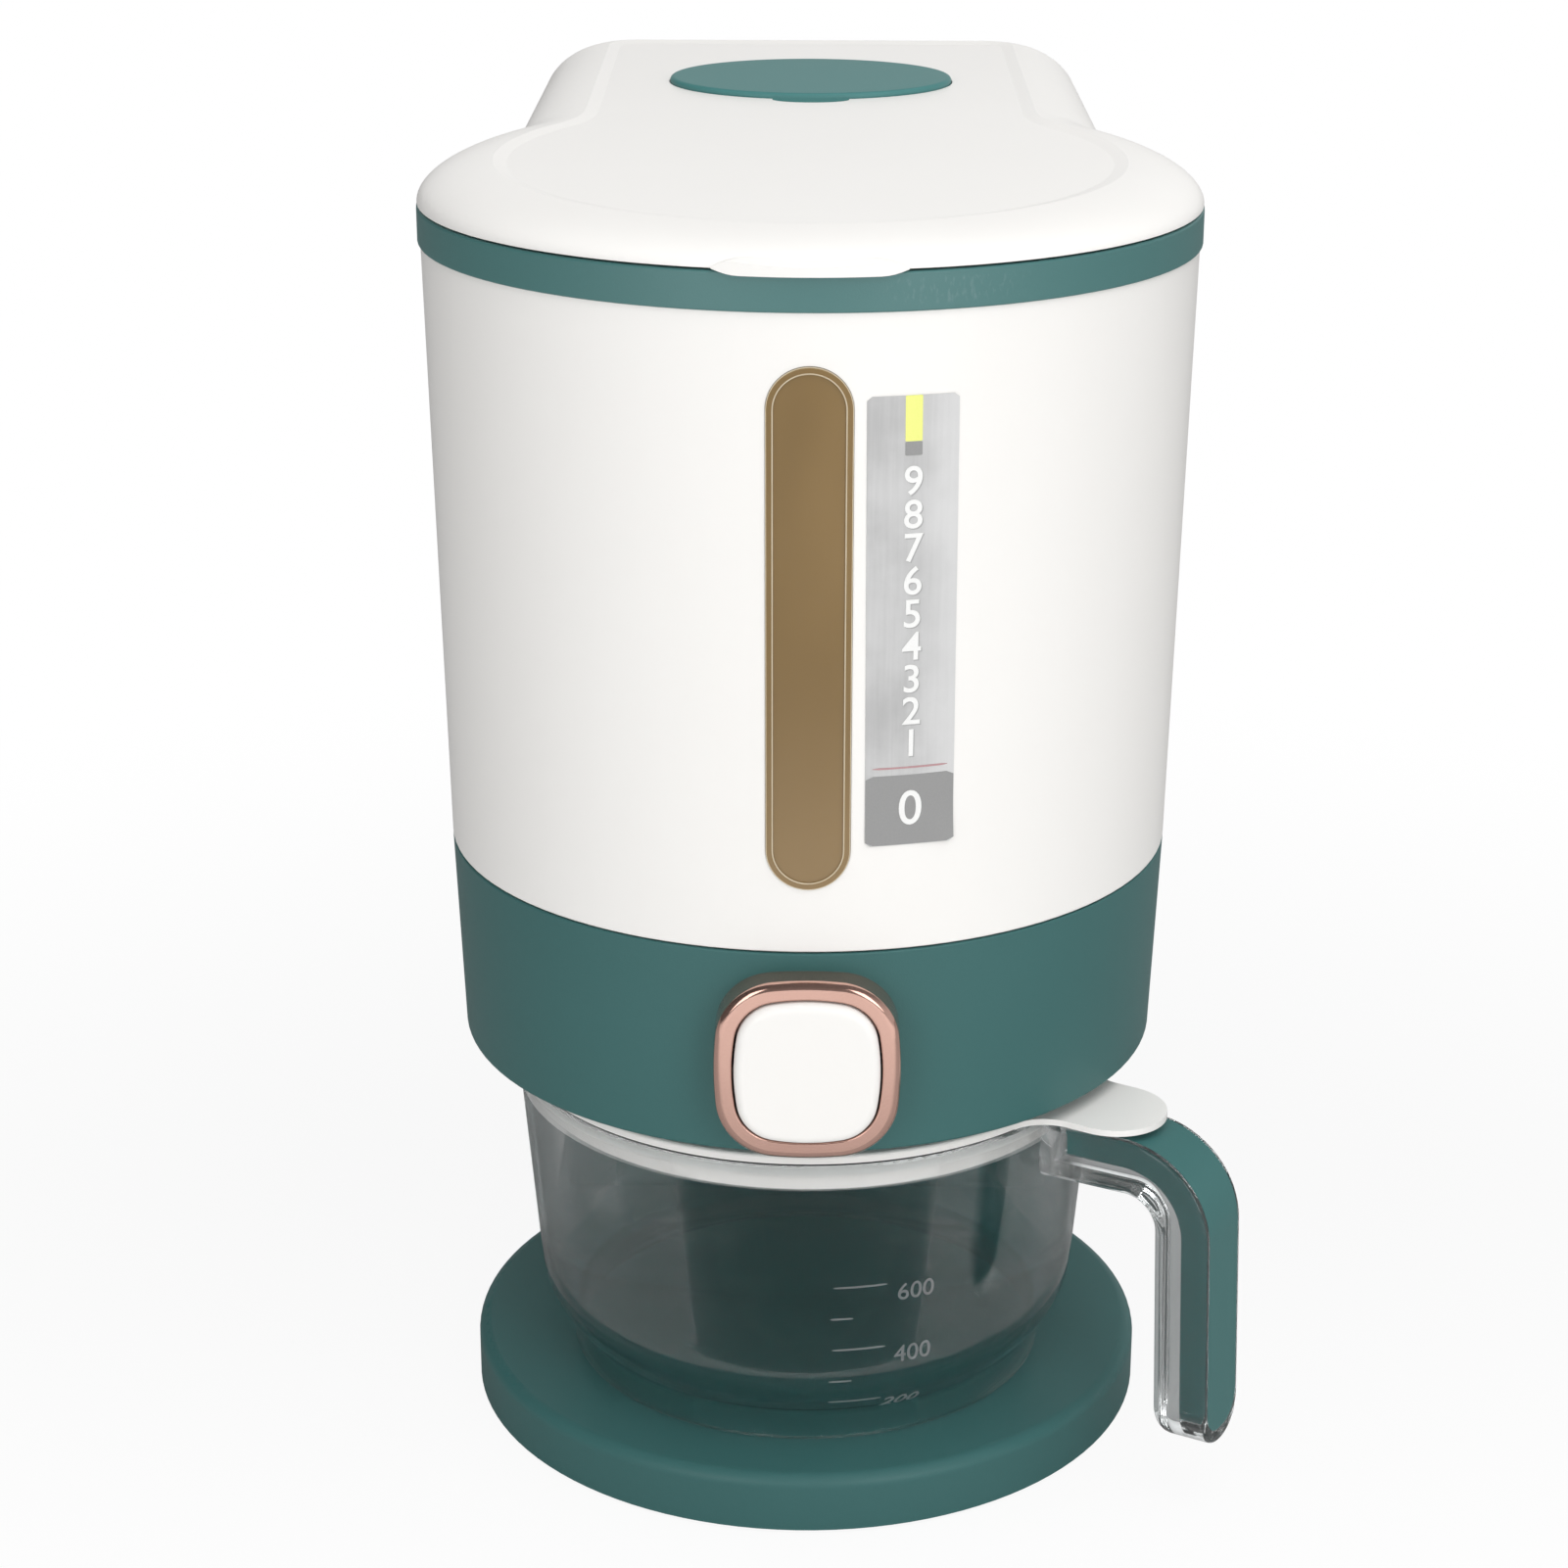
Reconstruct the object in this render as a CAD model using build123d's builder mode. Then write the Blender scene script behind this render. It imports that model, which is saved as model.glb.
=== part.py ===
"""Rice dispenser: a round container with a rear lobe, held over a measuring cup.

Millimetres, +Z up. The origin is on the table, under the axis of the round front.
The button looks along -Y and the rear column stands at +Y.
"""

import os
from math import atan2, cos, degrees, hypot, radians, sin, sqrt

from build123d import *

os.makedirs("parts", exist_ok=True)

# Plan of the body at the top ring: a round front with a narrower rear lobe
ring_radius = 120.5
lobe_half_width = 97.5
lobe_rear = 245.0
lobe_corner = 34.0
lobe_junction = 24.0

# Heights of the stacked pieces
base_height = 20.0
cup_rise = 4.0
cup_height = 101.7
cover_flange_gap = 1.2
cover_flange_height = 2.7
housing_clearance = 4.0
housing_height = 66.4
container_height = 192.0
ring_height = 11.2

# Draft of the body, as distance inside the plan of the top ring
container_top_inset = 0.9
parting_inset = 4.7
housing_bottom_inset = 7.2
base_inset = 7.8
base_side_inset = 4.0

# Walls and fits
shell_wall = 2.6
housing_floor = 3.0
housing_edge_radius = 1.2
seam_edge_radius = 0.6
seam_gap = 0.5
fit_gap = 0.15
running_gap = 0.3
pin_gap = 0.05

# Base
base_skirt_bottom = 1.2
base_wall = 3.0
base_plate = 3.5
base_edge_radius = 4.0
cover_plate = 2.0
foot_radius = 9.0
foot_seat = 0.8
foot_inset = 22.0
foot_rear_inset = 40.0
foot_angle = 40.0

# Rear column
column_margin = 0.1
column_clearance = 5.0
column_front_corner = 5.0
column_wall = 3.0

# Screws
screw_radius = 1.5
screw_head_radius = 3.0
screw_head = 1.2
boss_radius = 4.5
cover_screw_inset = 12.0
cover_screw_front = -30.0
cover_screw_back = 150.0
cover_screw_tip_gap = 3.3
column_boss_inset = 5.5
column_screw_front_inset = 12.0
column_screw_back_inset = 31.5
column_screw_length = 16.0
rail_screw_tip_gap = 1.5

# Button and bezel
button_width = 43.6
button_corner = 13.0
button_bulge = 3.0
button_proud = 13.0
button_depth = 19.1
button_wall = 2.4
button_face = 3.0
button_edge_radius = 2.6
button_gap = 0.6
bezel_rim = 5.5
bezel_proud = 10.5
bezel_top_margin = 5.5
bezel_bottom_margin = 3.4
bezel_seat_depth = 30.0
bezel_bevel = 2.5
bezel_inner_edge = 0.5

# Outlet slots, shutter and its guide
slot_count = 3
slot_pitch = 20.0
slot_width = 9.0
slot_length = 52.0
slot_corner = 2.0
chute_margin = 2.0
chute_corner = 5.0
outlet_margin = 2.3
outlet_side_margin = 2.0
outlet_rear_margin = 11.5
outlet_corner = 7.0
outlet_junction = 5.0
gate_thickness = 2.5
gate_side_margin = 10.0
gate_end_margin = 2.5
gate_arm_width = 8.0
gate_arm_x = 15.0
push_plate = 2.5
push_plate_inset = 0.2
push_plate_rise = 9.5
gusset = 2.0
gusset_reach = 14.0
guide_plate = 2.4
rail_width = 10.0
rail_end_margin = 3.0
rail_screw_inset = 10.0
post_half_width = 8.0
post_depth = 3.0
post_rise = 8.0
spring_length = 27.8
spring_drop = 10.5
spring_radius = 5.0
spring_wire = 1.2
spring_turns = 5
spring_seat_gap = 0.1
spring_boss_radius = 3.6
spring_boss_length = 4.0

# Hopper
hopper_wall = 2.5
hopper_front_rise = 10.0
hopper_rear_rise = 90.0
hopper_rim_inset = 8.6

# Container details
spigot_depth = 10.0
spigot_root = 6.0
spigot_bite = 0.6
window_width = 25.0
window_bottom_margin = 20.5
window_top_margin = 14.9
window_border = 2.2
window_proud = 0.5
window_edge_radius = 0.3
window_cut = 25.0
ring_section = 5.5
ring_lip_depth = 8.0
ring_lip_gap = 0.3
ring_edge_radius = 0.8

# Lid
lid_gap = 0.7
lid_wall = 2.6
lid_border = 27.0
lid_front_rise = 9.0
lid_slope = 0.034
lid_border_steps = 5
panel_recess = 1.0
panel_margin = 0.8
panel_slope = 5.0
lid_edge_inset = 0.2
skirt_gap = 2.0
skirt_wall = 2.5
skirt_depth = 7.2
gasket_rise = 1.6
gasket_height = 3.0
gasket_groove = 1.0
gasket_gap = 0.4
lip_half_angle = 13.0
lip_thickness = 1.3
lip_drop = 1.0
lip_rise = 3.0
lip_shoulder = 1.0
lip_end = 0.3
lip_run = 5.0
lip_curve = 18.0
lid_reach = 40.0

# Lid hinge
hinge_offset = 5.5
hinge_rise = 1.3
knuckle_radius = 4.5
hinge_pin_radius = 1.6
hinge_pin_fit = 0.03
knuckle_x = 52.0
knuckle_width = 14.0
ear_width = 8.0
hinge_root = 1.2
ear_root_drop = 4.7
knuckle_root_rise = 2.0
knuckle_root_height = 3.8

# Moisture cap in the lid
cap_rear_inset = 106.0
cap_half_width = 48.5
cap_half_depth = 36.0
cap_thickness = 3.6
cap_seat_depth = 2.0
cap_seat_width = 4.5
cap_barrel_depth = 12.0
cap_wall = 2.0
cap_gap = 0.4
collar_margin = 8.0
collar_floor = 2.4
cap_edge_radius = 1.4
notch_half_width = 13.0
notch_half_depth = 6.0
basket_depth = 22.0
basket_wall = 1.6
basket_slot_width = 3.0
basket_slot_length = 34.0
basket_slot_pitch = 9.0
basket_slots = 5

# Measuring cup
cup_setback = 109.5
cup_rest_gap = 0.3
cup_mouth_radius = 95.8
cup_taper = 6.0
cup_edge_radius = 0.8
cup_corner = 31.0
cup_wall = 2.4
cup_foot_inset = 10.8
cup_foot_wall = 2.4

# Handle of the cup
handle_angle = -31.3
handle_lean = 2.0
finger_room = 36.2
handle_thickness = 20.0
handle_width = 25.0
handle_top_drop = 2.2
handle_foot_gap = 0.2
handle_inner_bend = 10.0
handle_edge_radius = 1.5
handle_inner_edge = 6.0
handle_end_radius = 12.0
handle_wall = 2.0
grip_depth = 9.5
grip_start_gap = 6.5
grip_end_margin = 5.0
grip_gap = 0.1

# Cover of the cup
cover_overhang = 0.4
cover_plate_thickness = 2.0
cover_mouth_radius = 50.0
cover_skirt_depth = 10.4
cover_skirt_wall = 2.0
cover_edge_radius = 1.0
tab_length = 34.0
tab_half_width = 17.0
tab_thickness = 2.0
tab_drop = 0.2
tab_blend_radius = 14.0
tab_bite = 1.5
drain_count = 9
drain_width = 4.0
drain_length = 18.0
drain_inset = 4.6
drain_spread = 7.5
drain_start = 150.0

# Levels that follow from the sizes above
cup_bottom = base_height + cup_rise
cup_top = cup_bottom + cup_height
cover_bottom = cup_top + cover_flange_gap
cover_top_level = cover_bottom + cover_flange_height
housing_bottom = cover_top_level + housing_clearance
floor_top = housing_bottom + housing_floor
guide_top = floor_top + guide_plate
gate_bottom = guide_top + running_gap
gate_top = gate_bottom + gate_thickness
hopper_bottom = gate_top + running_gap
parting_height = housing_bottom + housing_height
spigot_root_top = parting_height + spigot_root + fit_gap
window_bottom = parting_height + window_bottom_margin
container_top = parting_height + container_height
window_top = container_top - window_top_margin
ring_top = container_top + ring_height
lid_bottom = ring_top + lid_gap
skirt_bottom = ring_top - skirt_depth
gasket_bottom = skirt_bottom + gasket_rise
hinge_height = ring_top + hinge_rise
hinge_y = lobe_rear + hinge_offset
cap_y = lobe_rear - cap_rear_inset
skirt_inset = ring_section + skirt_gap
lip_radius = ring_radius + running_gap + lip_thickness
lip_half_width = lip_radius * sin(radians(lip_half_angle))

# Base and column outlines that follow from the plan of the body
base_radius = ring_radius - base_inset
base_half_width = lobe_half_width - base_side_inset
base_rear = lobe_rear - base_side_inset
base_corner = lobe_corner - base_side_inset
base_junction = lobe_junction + base_inset
column_inset = housing_bottom_inset + housing_edge_radius + column_margin
column_half_width = lobe_half_width - column_inset
column_rear = lobe_rear - column_inset
column_rear_corner = lobe_corner - column_inset

# Place and sizes of the cup and its cover that follow from the front of the ring and the mouth
cup_y = cup_setback - ring_radius
cup_shoulder_radius = cup_mouth_radius - cup_taper
cup_foot_radius = cup_shoulder_radius - cup_foot_inset
cup_foot_bottom = base_height + cup_rest_gap
corner_x = cup_shoulder_radius - cup_corner
corner_z = cup_bottom + cup_corner
foot_middle = cup_foot_radius - cup_foot_wall / 2
foot_join = corner_z - sqrt((cup_corner - cup_wall / 2) ** 2 - (foot_middle - corner_x) ** 2)
mouth_draft = cup_taper / (cup_top - corner_z)
skirt_low = cup_top - cover_bottom + cover_skirt_depth
skirt_radius = cup_mouth_radius - cup_wall - mouth_draft * skirt_low - running_gap
cover_flange_radius = cup_mouth_radius + cover_overhang
tab_reach = cover_flange_radius + tab_length
drain_radius = skirt_radius - cover_skirt_wall - drain_length / 2 - drain_inset
column_front = cup_y + cover_flange_radius + column_clearance
handle_inner = cup_mouth_radius + finger_room
handle_outer = handle_inner + handle_thickness
handle_outer_radius = handle_inner_bend + handle_thickness
handle_top = cup_top - handle_top_drop
handle_bottom = base_height + handle_foot_gap
grip_start = cup_mouth_radius + grip_start_gap

# Shutter layout that follows from the slots
slot_half_span = (slot_count - 1) * slot_pitch / 2 + slot_width / 2
button_travel = slot_pitch / 2
chute_length = slot_length + 2 * chute_margin
chute_depth = 2 * slot_half_span + 2 * chute_margin
outlet_radius = hypot(slot_length / 2, slot_half_span) + outlet_margin
outlet_half_width = slot_length / 2 + outlet_side_margin
outlet_rear = slot_half_span + outlet_rear_margin
gate_half_width = slot_length / 2 + gate_side_margin
gate_half_depth = slot_half_span + button_travel + gate_end_margin
rail_half_length = gate_half_depth + rail_end_margin
rail_x = gate_half_width + running_gap + rail_width / 2
bezel_height = housing_height - bezel_top_margin - bezel_bottom_margin
button_height = bezel_height - 2 * (bezel_rim + button_gap)
button_level = housing_bottom + bezel_bottom_margin + bezel_height / 2
push_plate_top = button_level + push_plate_rise
push_plate_half_width = button_width / 2 - push_plate_inset
spring_level = button_level - spring_drop
post_top = spring_level + post_rise


def plan(inset=0.0, radius=ring_radius, half_width=lobe_half_width, rear=lobe_rear,
         corner=lobe_corner, junction=lobe_junction, shift=0.0):
    """Outline of a round front and its narrower rear lobe, drawn inset all round."""
    r = radius - inset
    w = half_width - inset
    back = rear - inset
    c = corner - inset
    j = junction + inset
    meet_x = w + j
    meet_y = sqrt((r + j) ** 2 - meet_x ** 2)
    meet = degrees(atan2(meet_y, meet_x))
    with BuildSketch() as outline:
        with BuildLine():
            CenterArc((0, shift), r, 180 - meet, 180 + 2 * meet)
            CenterArc((meet_x, meet_y + shift), j, 180 + meet, -meet)
            Line((w, meet_y + shift), (w, back - c + shift))
            CenterArc((w - c, back - c + shift), c, 0, 90)
            Line((w - c, back + shift), (c - w, back + shift))
            CenterArc((c - w, back - c + shift), c, 90, 90)
            Line((-w, back - c + shift), (-w, meet_y + shift))
            CenterArc((-meet_x, meet_y + shift), j, 0, -meet)
        make_face()
    return outline.sketch


def base_plan(inset=0.0):
    """Outline of the base, drawn inset all round."""
    return plan(inset, base_radius, base_half_width, base_rear, base_corner, base_junction)


def outlet_plan(inset=0.0):
    """Outline of the hopper outlet over the cup, drawn inset all round."""
    return plan(inset, outlet_radius, outlet_half_width, outlet_rear, outlet_corner,
                outlet_junction, cup_y)


def column_plan(inset=0.0):
    """Outline of the rear column, drawn inset all round."""
    depth = column_rear - column_front - 2 * inset
    with BuildSketch() as outline:
        with Locations((0, (column_rear + column_front) / 2)):
            Rectangle(2 * (column_half_width - inset), depth)
        corners = outline.vertices().group_by(Axis.Y)
        fillet(corners[0], max(column_front_corner - inset, column_wall / 2))
        fillet(outline.vertices().group_by(Axis.Y)[-1], column_rear_corner - inset)
    return outline.sketch


def body_inset(height):
    """Draft of the body's outer face at a height, as distance inside the ring's plan."""
    if height < parting_height:
        share = (parting_height - height) / (parting_height - housing_bottom)
        return parting_inset + share * (housing_bottom_inset - parting_inset)
    share = (height - parting_height) / (container_top - parting_height)
    return parting_inset + share * (container_top_inset - parting_inset)


def body_form(bottom, top, extra=0.0):
    """Solid between two heights whose sides follow the body's draft, inset by extra."""
    with BuildPart() as form:
        for height in (bottom, top):
            with BuildSketch(Plane.XY.offset(height)):
                add(plan(body_inset(height) + extra))
        loft(ruled=True)
    return form.part


def lid_plane(rise):
    """Plane across the lid at a share of the border's rise, tilted up towards the rear."""
    slope = lid_slope * rise
    front_edge = ring_radius - lid_border
    height = lid_bottom + (lid_front_rise + lid_slope * front_edge) * rise
    return Plane(origin=(0, 0, height), x_dir=(1, 0, 0), z_dir=(0, -slope, 1))


def lid_form(extra, drop):
    """Solid of the lid's rounded border and tilted top, inset by extra and lowered by drop."""
    with BuildPart() as form:
        for step in range(lid_border_steps):
            turn = radians(90 * step / (lid_border_steps - 1))
            section = lid_plane(sin(turn)).offset(-drop * sin(turn))
            with BuildSketch(section):
                add(plan(extra + lid_border * (1 - cos(turn))))
        loft()
    return form.part


def squircle(width, height, corner, bulge):
    """Rounded square with slightly bowed sides."""
    half_w = width / 2 - bulge
    half_h = height / 2 - bulge
    with BuildSketch() as face:
        with BuildLine():
            ThreePointArc((-half_w, -half_h), (0, -height / 2), (half_w, -half_h))
            ThreePointArc((half_w, -half_h), (width / 2, 0), (half_w, half_h))
            ThreePointArc((half_w, half_h), (0, height / 2), (-half_w, half_h))
            ThreePointArc((-half_w, half_h), (-width / 2, 0), (-half_w, -half_h))
        make_face()
        fillet(face.vertices(), corner)
    return face.sketch


def button_outline(margin):
    """Outline of the button, grown by margin."""
    return squircle(button_width + 2 * margin, button_height + 2 * margin,
                    button_corner + margin, button_bulge)


def front_plane(distance):
    """Upright plane at a distance in front of the axis, level with the button."""
    return Plane(origin=(0, -distance, button_level), x_dir=(1, 0, 0), z_dir=(0, -1, 0))


def four_places(x, front, back):
    """Two places at the front and two at the back, mirrored in X."""
    return [(-x, front), (x, front), (-x, back), (x, back)]


front_foot_x = (base_radius - foot_inset) * cos(radians(foot_angle))
front_foot_y = (foot_inset - base_radius) * sin(radians(foot_angle))
rear_foot_x = base_half_width - foot_inset
rear_foot_y = base_rear - foot_rear_inset
foot_places = [(0, 0), (-front_foot_x, front_foot_y), (front_foot_x, front_foot_y),
               (-rear_foot_x, rear_foot_y), (rear_foot_x, rear_foot_y)]
cover_screw_places = four_places(base_half_width - cover_screw_inset, cover_screw_front, cover_screw_back)
column_screw_places = four_places(column_half_width - column_boss_inset,
                                  column_front + column_screw_front_inset,
                                  column_rear - column_screw_back_inset)
rail_screw_y = rail_half_length - rail_screw_inset
rail_screw_places = four_places(rail_x, cup_y - rail_screw_y, cup_y + rail_screw_y)
cover_top = base_skirt_bottom + cover_plate
cover_screw_length = base_height - base_plate - base_skirt_bottom - cover_screw_tip_gap
rail_screw_length = hopper_wall + hopper_bottom - floor_top - rail_screw_tip_gap

# Front faces of button and bezel, and the shutter pieces behind them
wall_front = ring_radius - body_inset(button_level)
button_front = wall_front + button_proud
bezel_front = wall_front + bezel_proud
push_plate_front = button_depth - button_front
push_plate_back = push_plate_front + push_plate
gate_arm_length = cup_y - gate_half_depth - push_plate_front
gate_arm_middle = push_plate_front + gate_arm_length / 2
post_y = push_plate_back + spring_length
spring_span = spring_length - spring_wire - 2 * spring_seat_gap
window_height = window_top - window_bottom
window_plane = Plane(origin=(0, -ring_radius, (window_top + window_bottom) / 2), x_dir=(1, 0, 0),
                     z_dir=(0, -1, 0))

# Rim of the hopper: a plane that rises towards the rear, and the plan as it lies on that plane
rim_slope = (hopper_rear_rise - hopper_front_rise) / (lobe_rear + ring_radius)
rim_stretch = sqrt(1 + rim_slope ** 2)
rim_plane = Plane(origin=(0, 0, parting_height + hopper_front_rise + rim_slope * ring_radius),
                  x_dir=(1, 0, 0), z_dir=(0, -rim_slope, 1))


def window_rim(edge):
    """True for an edge that lies on the raised border of the window."""
    middle = edge.center()
    return hypot(middle.X, middle.Y) > ring_radius - body_inset(middle.Z) + window_proud - fit_gap


def rim_plan(inset=0.0):
    """Outline of the hopper rim on its tilted plane, drawn inset all round."""
    shift = ring_radius * (1 - rim_stretch)
    return plan(hopper_rim_inset + inset, rear=lobe_rear * rim_stretch - shift, shift=shift)


# Places and planes of the hinge, cap and cup
ear_offset = (knuckle_width + ear_width) / 2 + running_gap
ear_places = [side * knuckle_x + step for side in (-1, 1) for step in (-ear_offset, ear_offset)]
cap_plane = lid_plane(1).offset(running_gap - panel_recess - cap_seat_depth)
barrel_half_width = cap_half_width - cap_seat_width - cap_gap
barrel_half_depth = cap_half_depth - cap_seat_width - cap_gap
cup_axis = Axis((0, cup_y, 0), (0, 0, 1))
cup_plane = Plane(origin=(0, cup_y, 0), x_dir=(1, 0, 0), z_dir=(0, -1, 0))
handle_direction = (cos(radians(handle_angle)), sin(radians(handle_angle)), 0)
handle_across = (sin(radians(handle_angle)), -cos(radians(handle_angle)), 0)
handle_plane = Plane(origin=(0, cup_y, 0), x_dir=handle_direction, z_dir=handle_across)
handle_root = Axis(handle_plane.from_local_coords((cup_mouth_radius, handle_top, 0)), handle_across)
handle_end_plane = Plane(origin=(0, cup_y, 0), z_dir=handle_direction,
                         x_dir=(-sin(radians(handle_angle)), cos(radians(handle_angle)), 0))


def hinge_arm(root_bottom, root_top, bore):
    """Side view of a hinge arm: a bored knuckle drawn out to its root on ring or lid."""
    with BuildSketch() as arm:
        with Locations((hinge_y, hinge_height)):
            Circle(knuckle_radius)
        with Locations((lobe_rear - hinge_root, (root_bottom + root_top) / 2)):
            Rectangle(hinge_root, root_top - root_bottom)
        make_hull()
        with Locations((hinge_y, hinge_height)):
            Circle(bore, mode=Mode.SUBTRACT)
    return arm.sketch


def lip_sector(inner):
    """Plan of the lid's finger lip: a crescent from an inner radius to its swelling outer face."""
    turn = radians(lip_half_angle)
    tip = ring_radius + running_gap + lip_end
    with BuildSketch() as sector:
        with BuildLine():
            ThreePointArc((-tip * sin(turn), -tip * cos(turn)), (0, -lip_radius),
                          (tip * sin(turn), -tip * cos(turn)))
            CenterArc((0, 0), inner, -90 - lip_half_angle, 2 * lip_half_angle)
            for side in (-1, 1):
                Line((side * inner * sin(turn), -inner * cos(turn)),
                     (side * tip * sin(turn), -tip * cos(turn)))
        make_face()
    return sector.sketch


def handle_side(proud, depth, root, end):
    """Side view of the inverted-L handle or of a layer along its outer face."""
    top = handle_top + proud
    outer = handle_outer + proud
    bend = handle_outer_radius + proud
    inner_bend = bend - depth
    with BuildSketch() as side:
        with BuildLine():
            Line((root, top), (outer - bend, top))
            CenterArc((outer - bend, top - bend), bend, 90, -90)
            Line((outer, top - bend), (outer, end))
            Line((outer, end), (outer - depth, end))
            Line((outer - depth, end), (outer - depth, top - bend))
            CenterArc((outer - bend, top - bend), inner_bend, 0, 90)
            Line((outer - bend, top - depth), (root, top - depth))
            Line((root, top - depth), (root, top))
        make_face()
    return side.sketch


def handle_depth(edge):
    """Distance of an edge's middle below the outer face of the handle."""
    place = handle_plane.to_local_coords(edge.center())
    past_bend = place.X - handle_outer + handle_outer_radius
    above_bend = place.Y - handle_top + handle_outer_radius
    if past_bend > 0 and above_bend > 0:
        return handle_outer_radius - hypot(past_bend, above_bend)
    if above_bend > 0:
        return handle_top - place.Y
    return handle_outer - place.X


def handle_offset(edge):
    """Distance of an edge's middle from the handle's middle plane."""
    return handle_plane.to_local_coords(edge.center()).Z


def grip_form(gap):
    """Solid along the outer face of the handle; with no gap it is the pocket, cut past the face."""
    width = handle_width - 2 * handle_wall - 2 * gap
    proud = 0 if gap else handle_wall
    with BuildPart() as form:
        with BuildSketch(handle_plane):
            add(handle_side(proud, grip_depth + proud - gap, grip_start + gap,
                            handle_bottom + grip_end_margin + gap))
        extrude(amount=width / 2, both=True)
        ends = form.faces().sort_by(Axis.Z)[0].edges()
        fillet([edge for edge in ends if abs(handle_offset(edge)) > width / 2 - fit_gap],
               width / 2 - handle_wall)
    return form.part


def tab_outline(inner):
    """Plan of the thumb tab, blended into the round of the cover, outside an inner radius."""
    with BuildSketch() as outline:
        Circle(cover_flange_radius)
        with Locations(((tab_reach - tab_half_width) / 2, 0)):
            Rectangle(tab_reach - tab_half_width, 2 * tab_half_width)
        blend = outline.vertices().filter_by(lambda corner: abs(corner.Y) < tab_half_width + fit_gap)
        fillet([corner for corner in blend if corner.X < cover_flange_radius], tab_blend_radius)
        with Locations((tab_reach - tab_half_width, 0)):
            Circle(tab_half_width)
        Circle(inner, mode=Mode.SUBTRACT)
    return outline.sketch


# Base tray: top plate, skirt and screw bosses, open below
with BuildPart() as base_tray:
    with BuildSketch(Plane.XY.offset(base_skirt_bottom)):
        add(base_plan())
    extrude(amount=base_height - base_skirt_bottom)
    fillet(base_tray.faces().sort_by(Axis.Z)[-1].edges(), base_edge_radius)
    with BuildSketch(Plane.XY.offset(base_skirt_bottom)):
        add(base_plan(base_wall))
    extrude(amount=base_height - base_plate - base_skirt_bottom, mode=Mode.SUBTRACT)
    with BuildSketch(Plane.XY.offset(cover_top)):
        with Locations(*cover_screw_places):
            Circle(boss_radius)
    extrude(amount=base_height - base_plate - cover_top)
    with BuildSketch(Plane.XY.offset(cover_top)):
        with Locations(*cover_screw_places):
            Circle(screw_radius + pin_gap)
    extrude(amount=base_height - base_plate - cover_top, mode=Mode.SUBTRACT)
    with BuildSketch(Plane.XY.offset(base_height - base_plate)):
        with Locations(*column_screw_places):
            Circle(screw_radius + pin_gap)
    extrude(amount=base_plate, mode=Mode.SUBTRACT)
base_tray.part.label = "base_tray"
export_step(base_tray.part, "parts/base_tray.step")

# Base cover: plate that closes the base from below, with seats for the pads
with BuildPart() as base_cover:
    with BuildSketch(Plane.XY.offset(base_skirt_bottom)):
        add(base_plan(base_wall + fit_gap))
    extrude(amount=cover_plate)
    with BuildSketch(Plane.XY.offset(base_skirt_bottom)):
        with Locations(*foot_places):
            Circle(foot_radius + fit_gap)
    extrude(amount=foot_seat, mode=Mode.SUBTRACT)
    with BuildSketch(Plane.XY.offset(base_skirt_bottom)):
        with Locations(*cover_screw_places):
            Circle(screw_radius + pin_gap)
    extrude(amount=cover_plate, mode=Mode.SUBTRACT)
    with BuildSketch(Plane.XY.offset(base_skirt_bottom)):
        with Locations(*cover_screw_places):
            Circle(screw_head_radius + fit_gap)
    extrude(amount=screw_head, mode=Mode.SUBTRACT)
base_cover.part.label = "base_cover"
export_step(base_cover.part, "parts/base_cover.step")

# Base feet: rubber pads glued into the seats of the cover
with BuildPart() as base_feet:
    with BuildSketch():
        with Locations(*foot_places):
            Circle(foot_radius)
    extrude(amount=base_skirt_bottom + foot_seat)
base_feet.part.label = "base_feet"
export_step(base_feet.part, "parts/base_feet.step")

# Base screws: flat heads sunk into the cover
with BuildPart() as base_screws:
    with BuildSketch(Plane.XY.offset(base_skirt_bottom)):
        with Locations(*cover_screw_places):
            Circle(screw_head_radius)
    extrude(amount=screw_head)
    with BuildSketch(Plane.XY.offset(base_skirt_bottom)):
        with Locations(*cover_screw_places):
            Circle(screw_radius)
    extrude(amount=cover_screw_length)
base_screws.part.label = "base_screws"
export_step(base_screws.part, "parts/base_screws.step")

# Rear column: hollow post between base and housing, with screw pillars on its walls
with BuildPart() as rear_column:
    with BuildSketch(Plane.XY.offset(base_height)):
        add(column_plan())
        add(column_plan(column_wall), mode=Mode.SUBTRACT)
        with Locations(*column_screw_places):
            Circle(boss_radius)
            Circle(screw_radius + pin_gap, mode=Mode.SUBTRACT)
    extrude(amount=housing_bottom - base_height)
rear_column.part.label = "rear_column"
export_step(rear_column.part, "parts/rear_column.step")

# Column screws: four up through the base plate, four down through the housing floor
with BuildPart() as column_screws:
    for seat, side in ((base_height - base_plate, 1), (floor_top, -1)):
        with BuildSketch(Plane.XY.offset(seat)):
            with Locations(*column_screw_places):
                Circle(screw_head_radius)
        extrude(amount=-side * screw_head)
        with BuildSketch(Plane.XY.offset(seat)):
            with Locations(*column_screw_places):
                Circle(screw_radius)
        extrude(amount=side * column_screw_length)
column_screws.part.label = "column_screws"
export_step(column_screws.part, "parts/column_screws.step")

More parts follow.
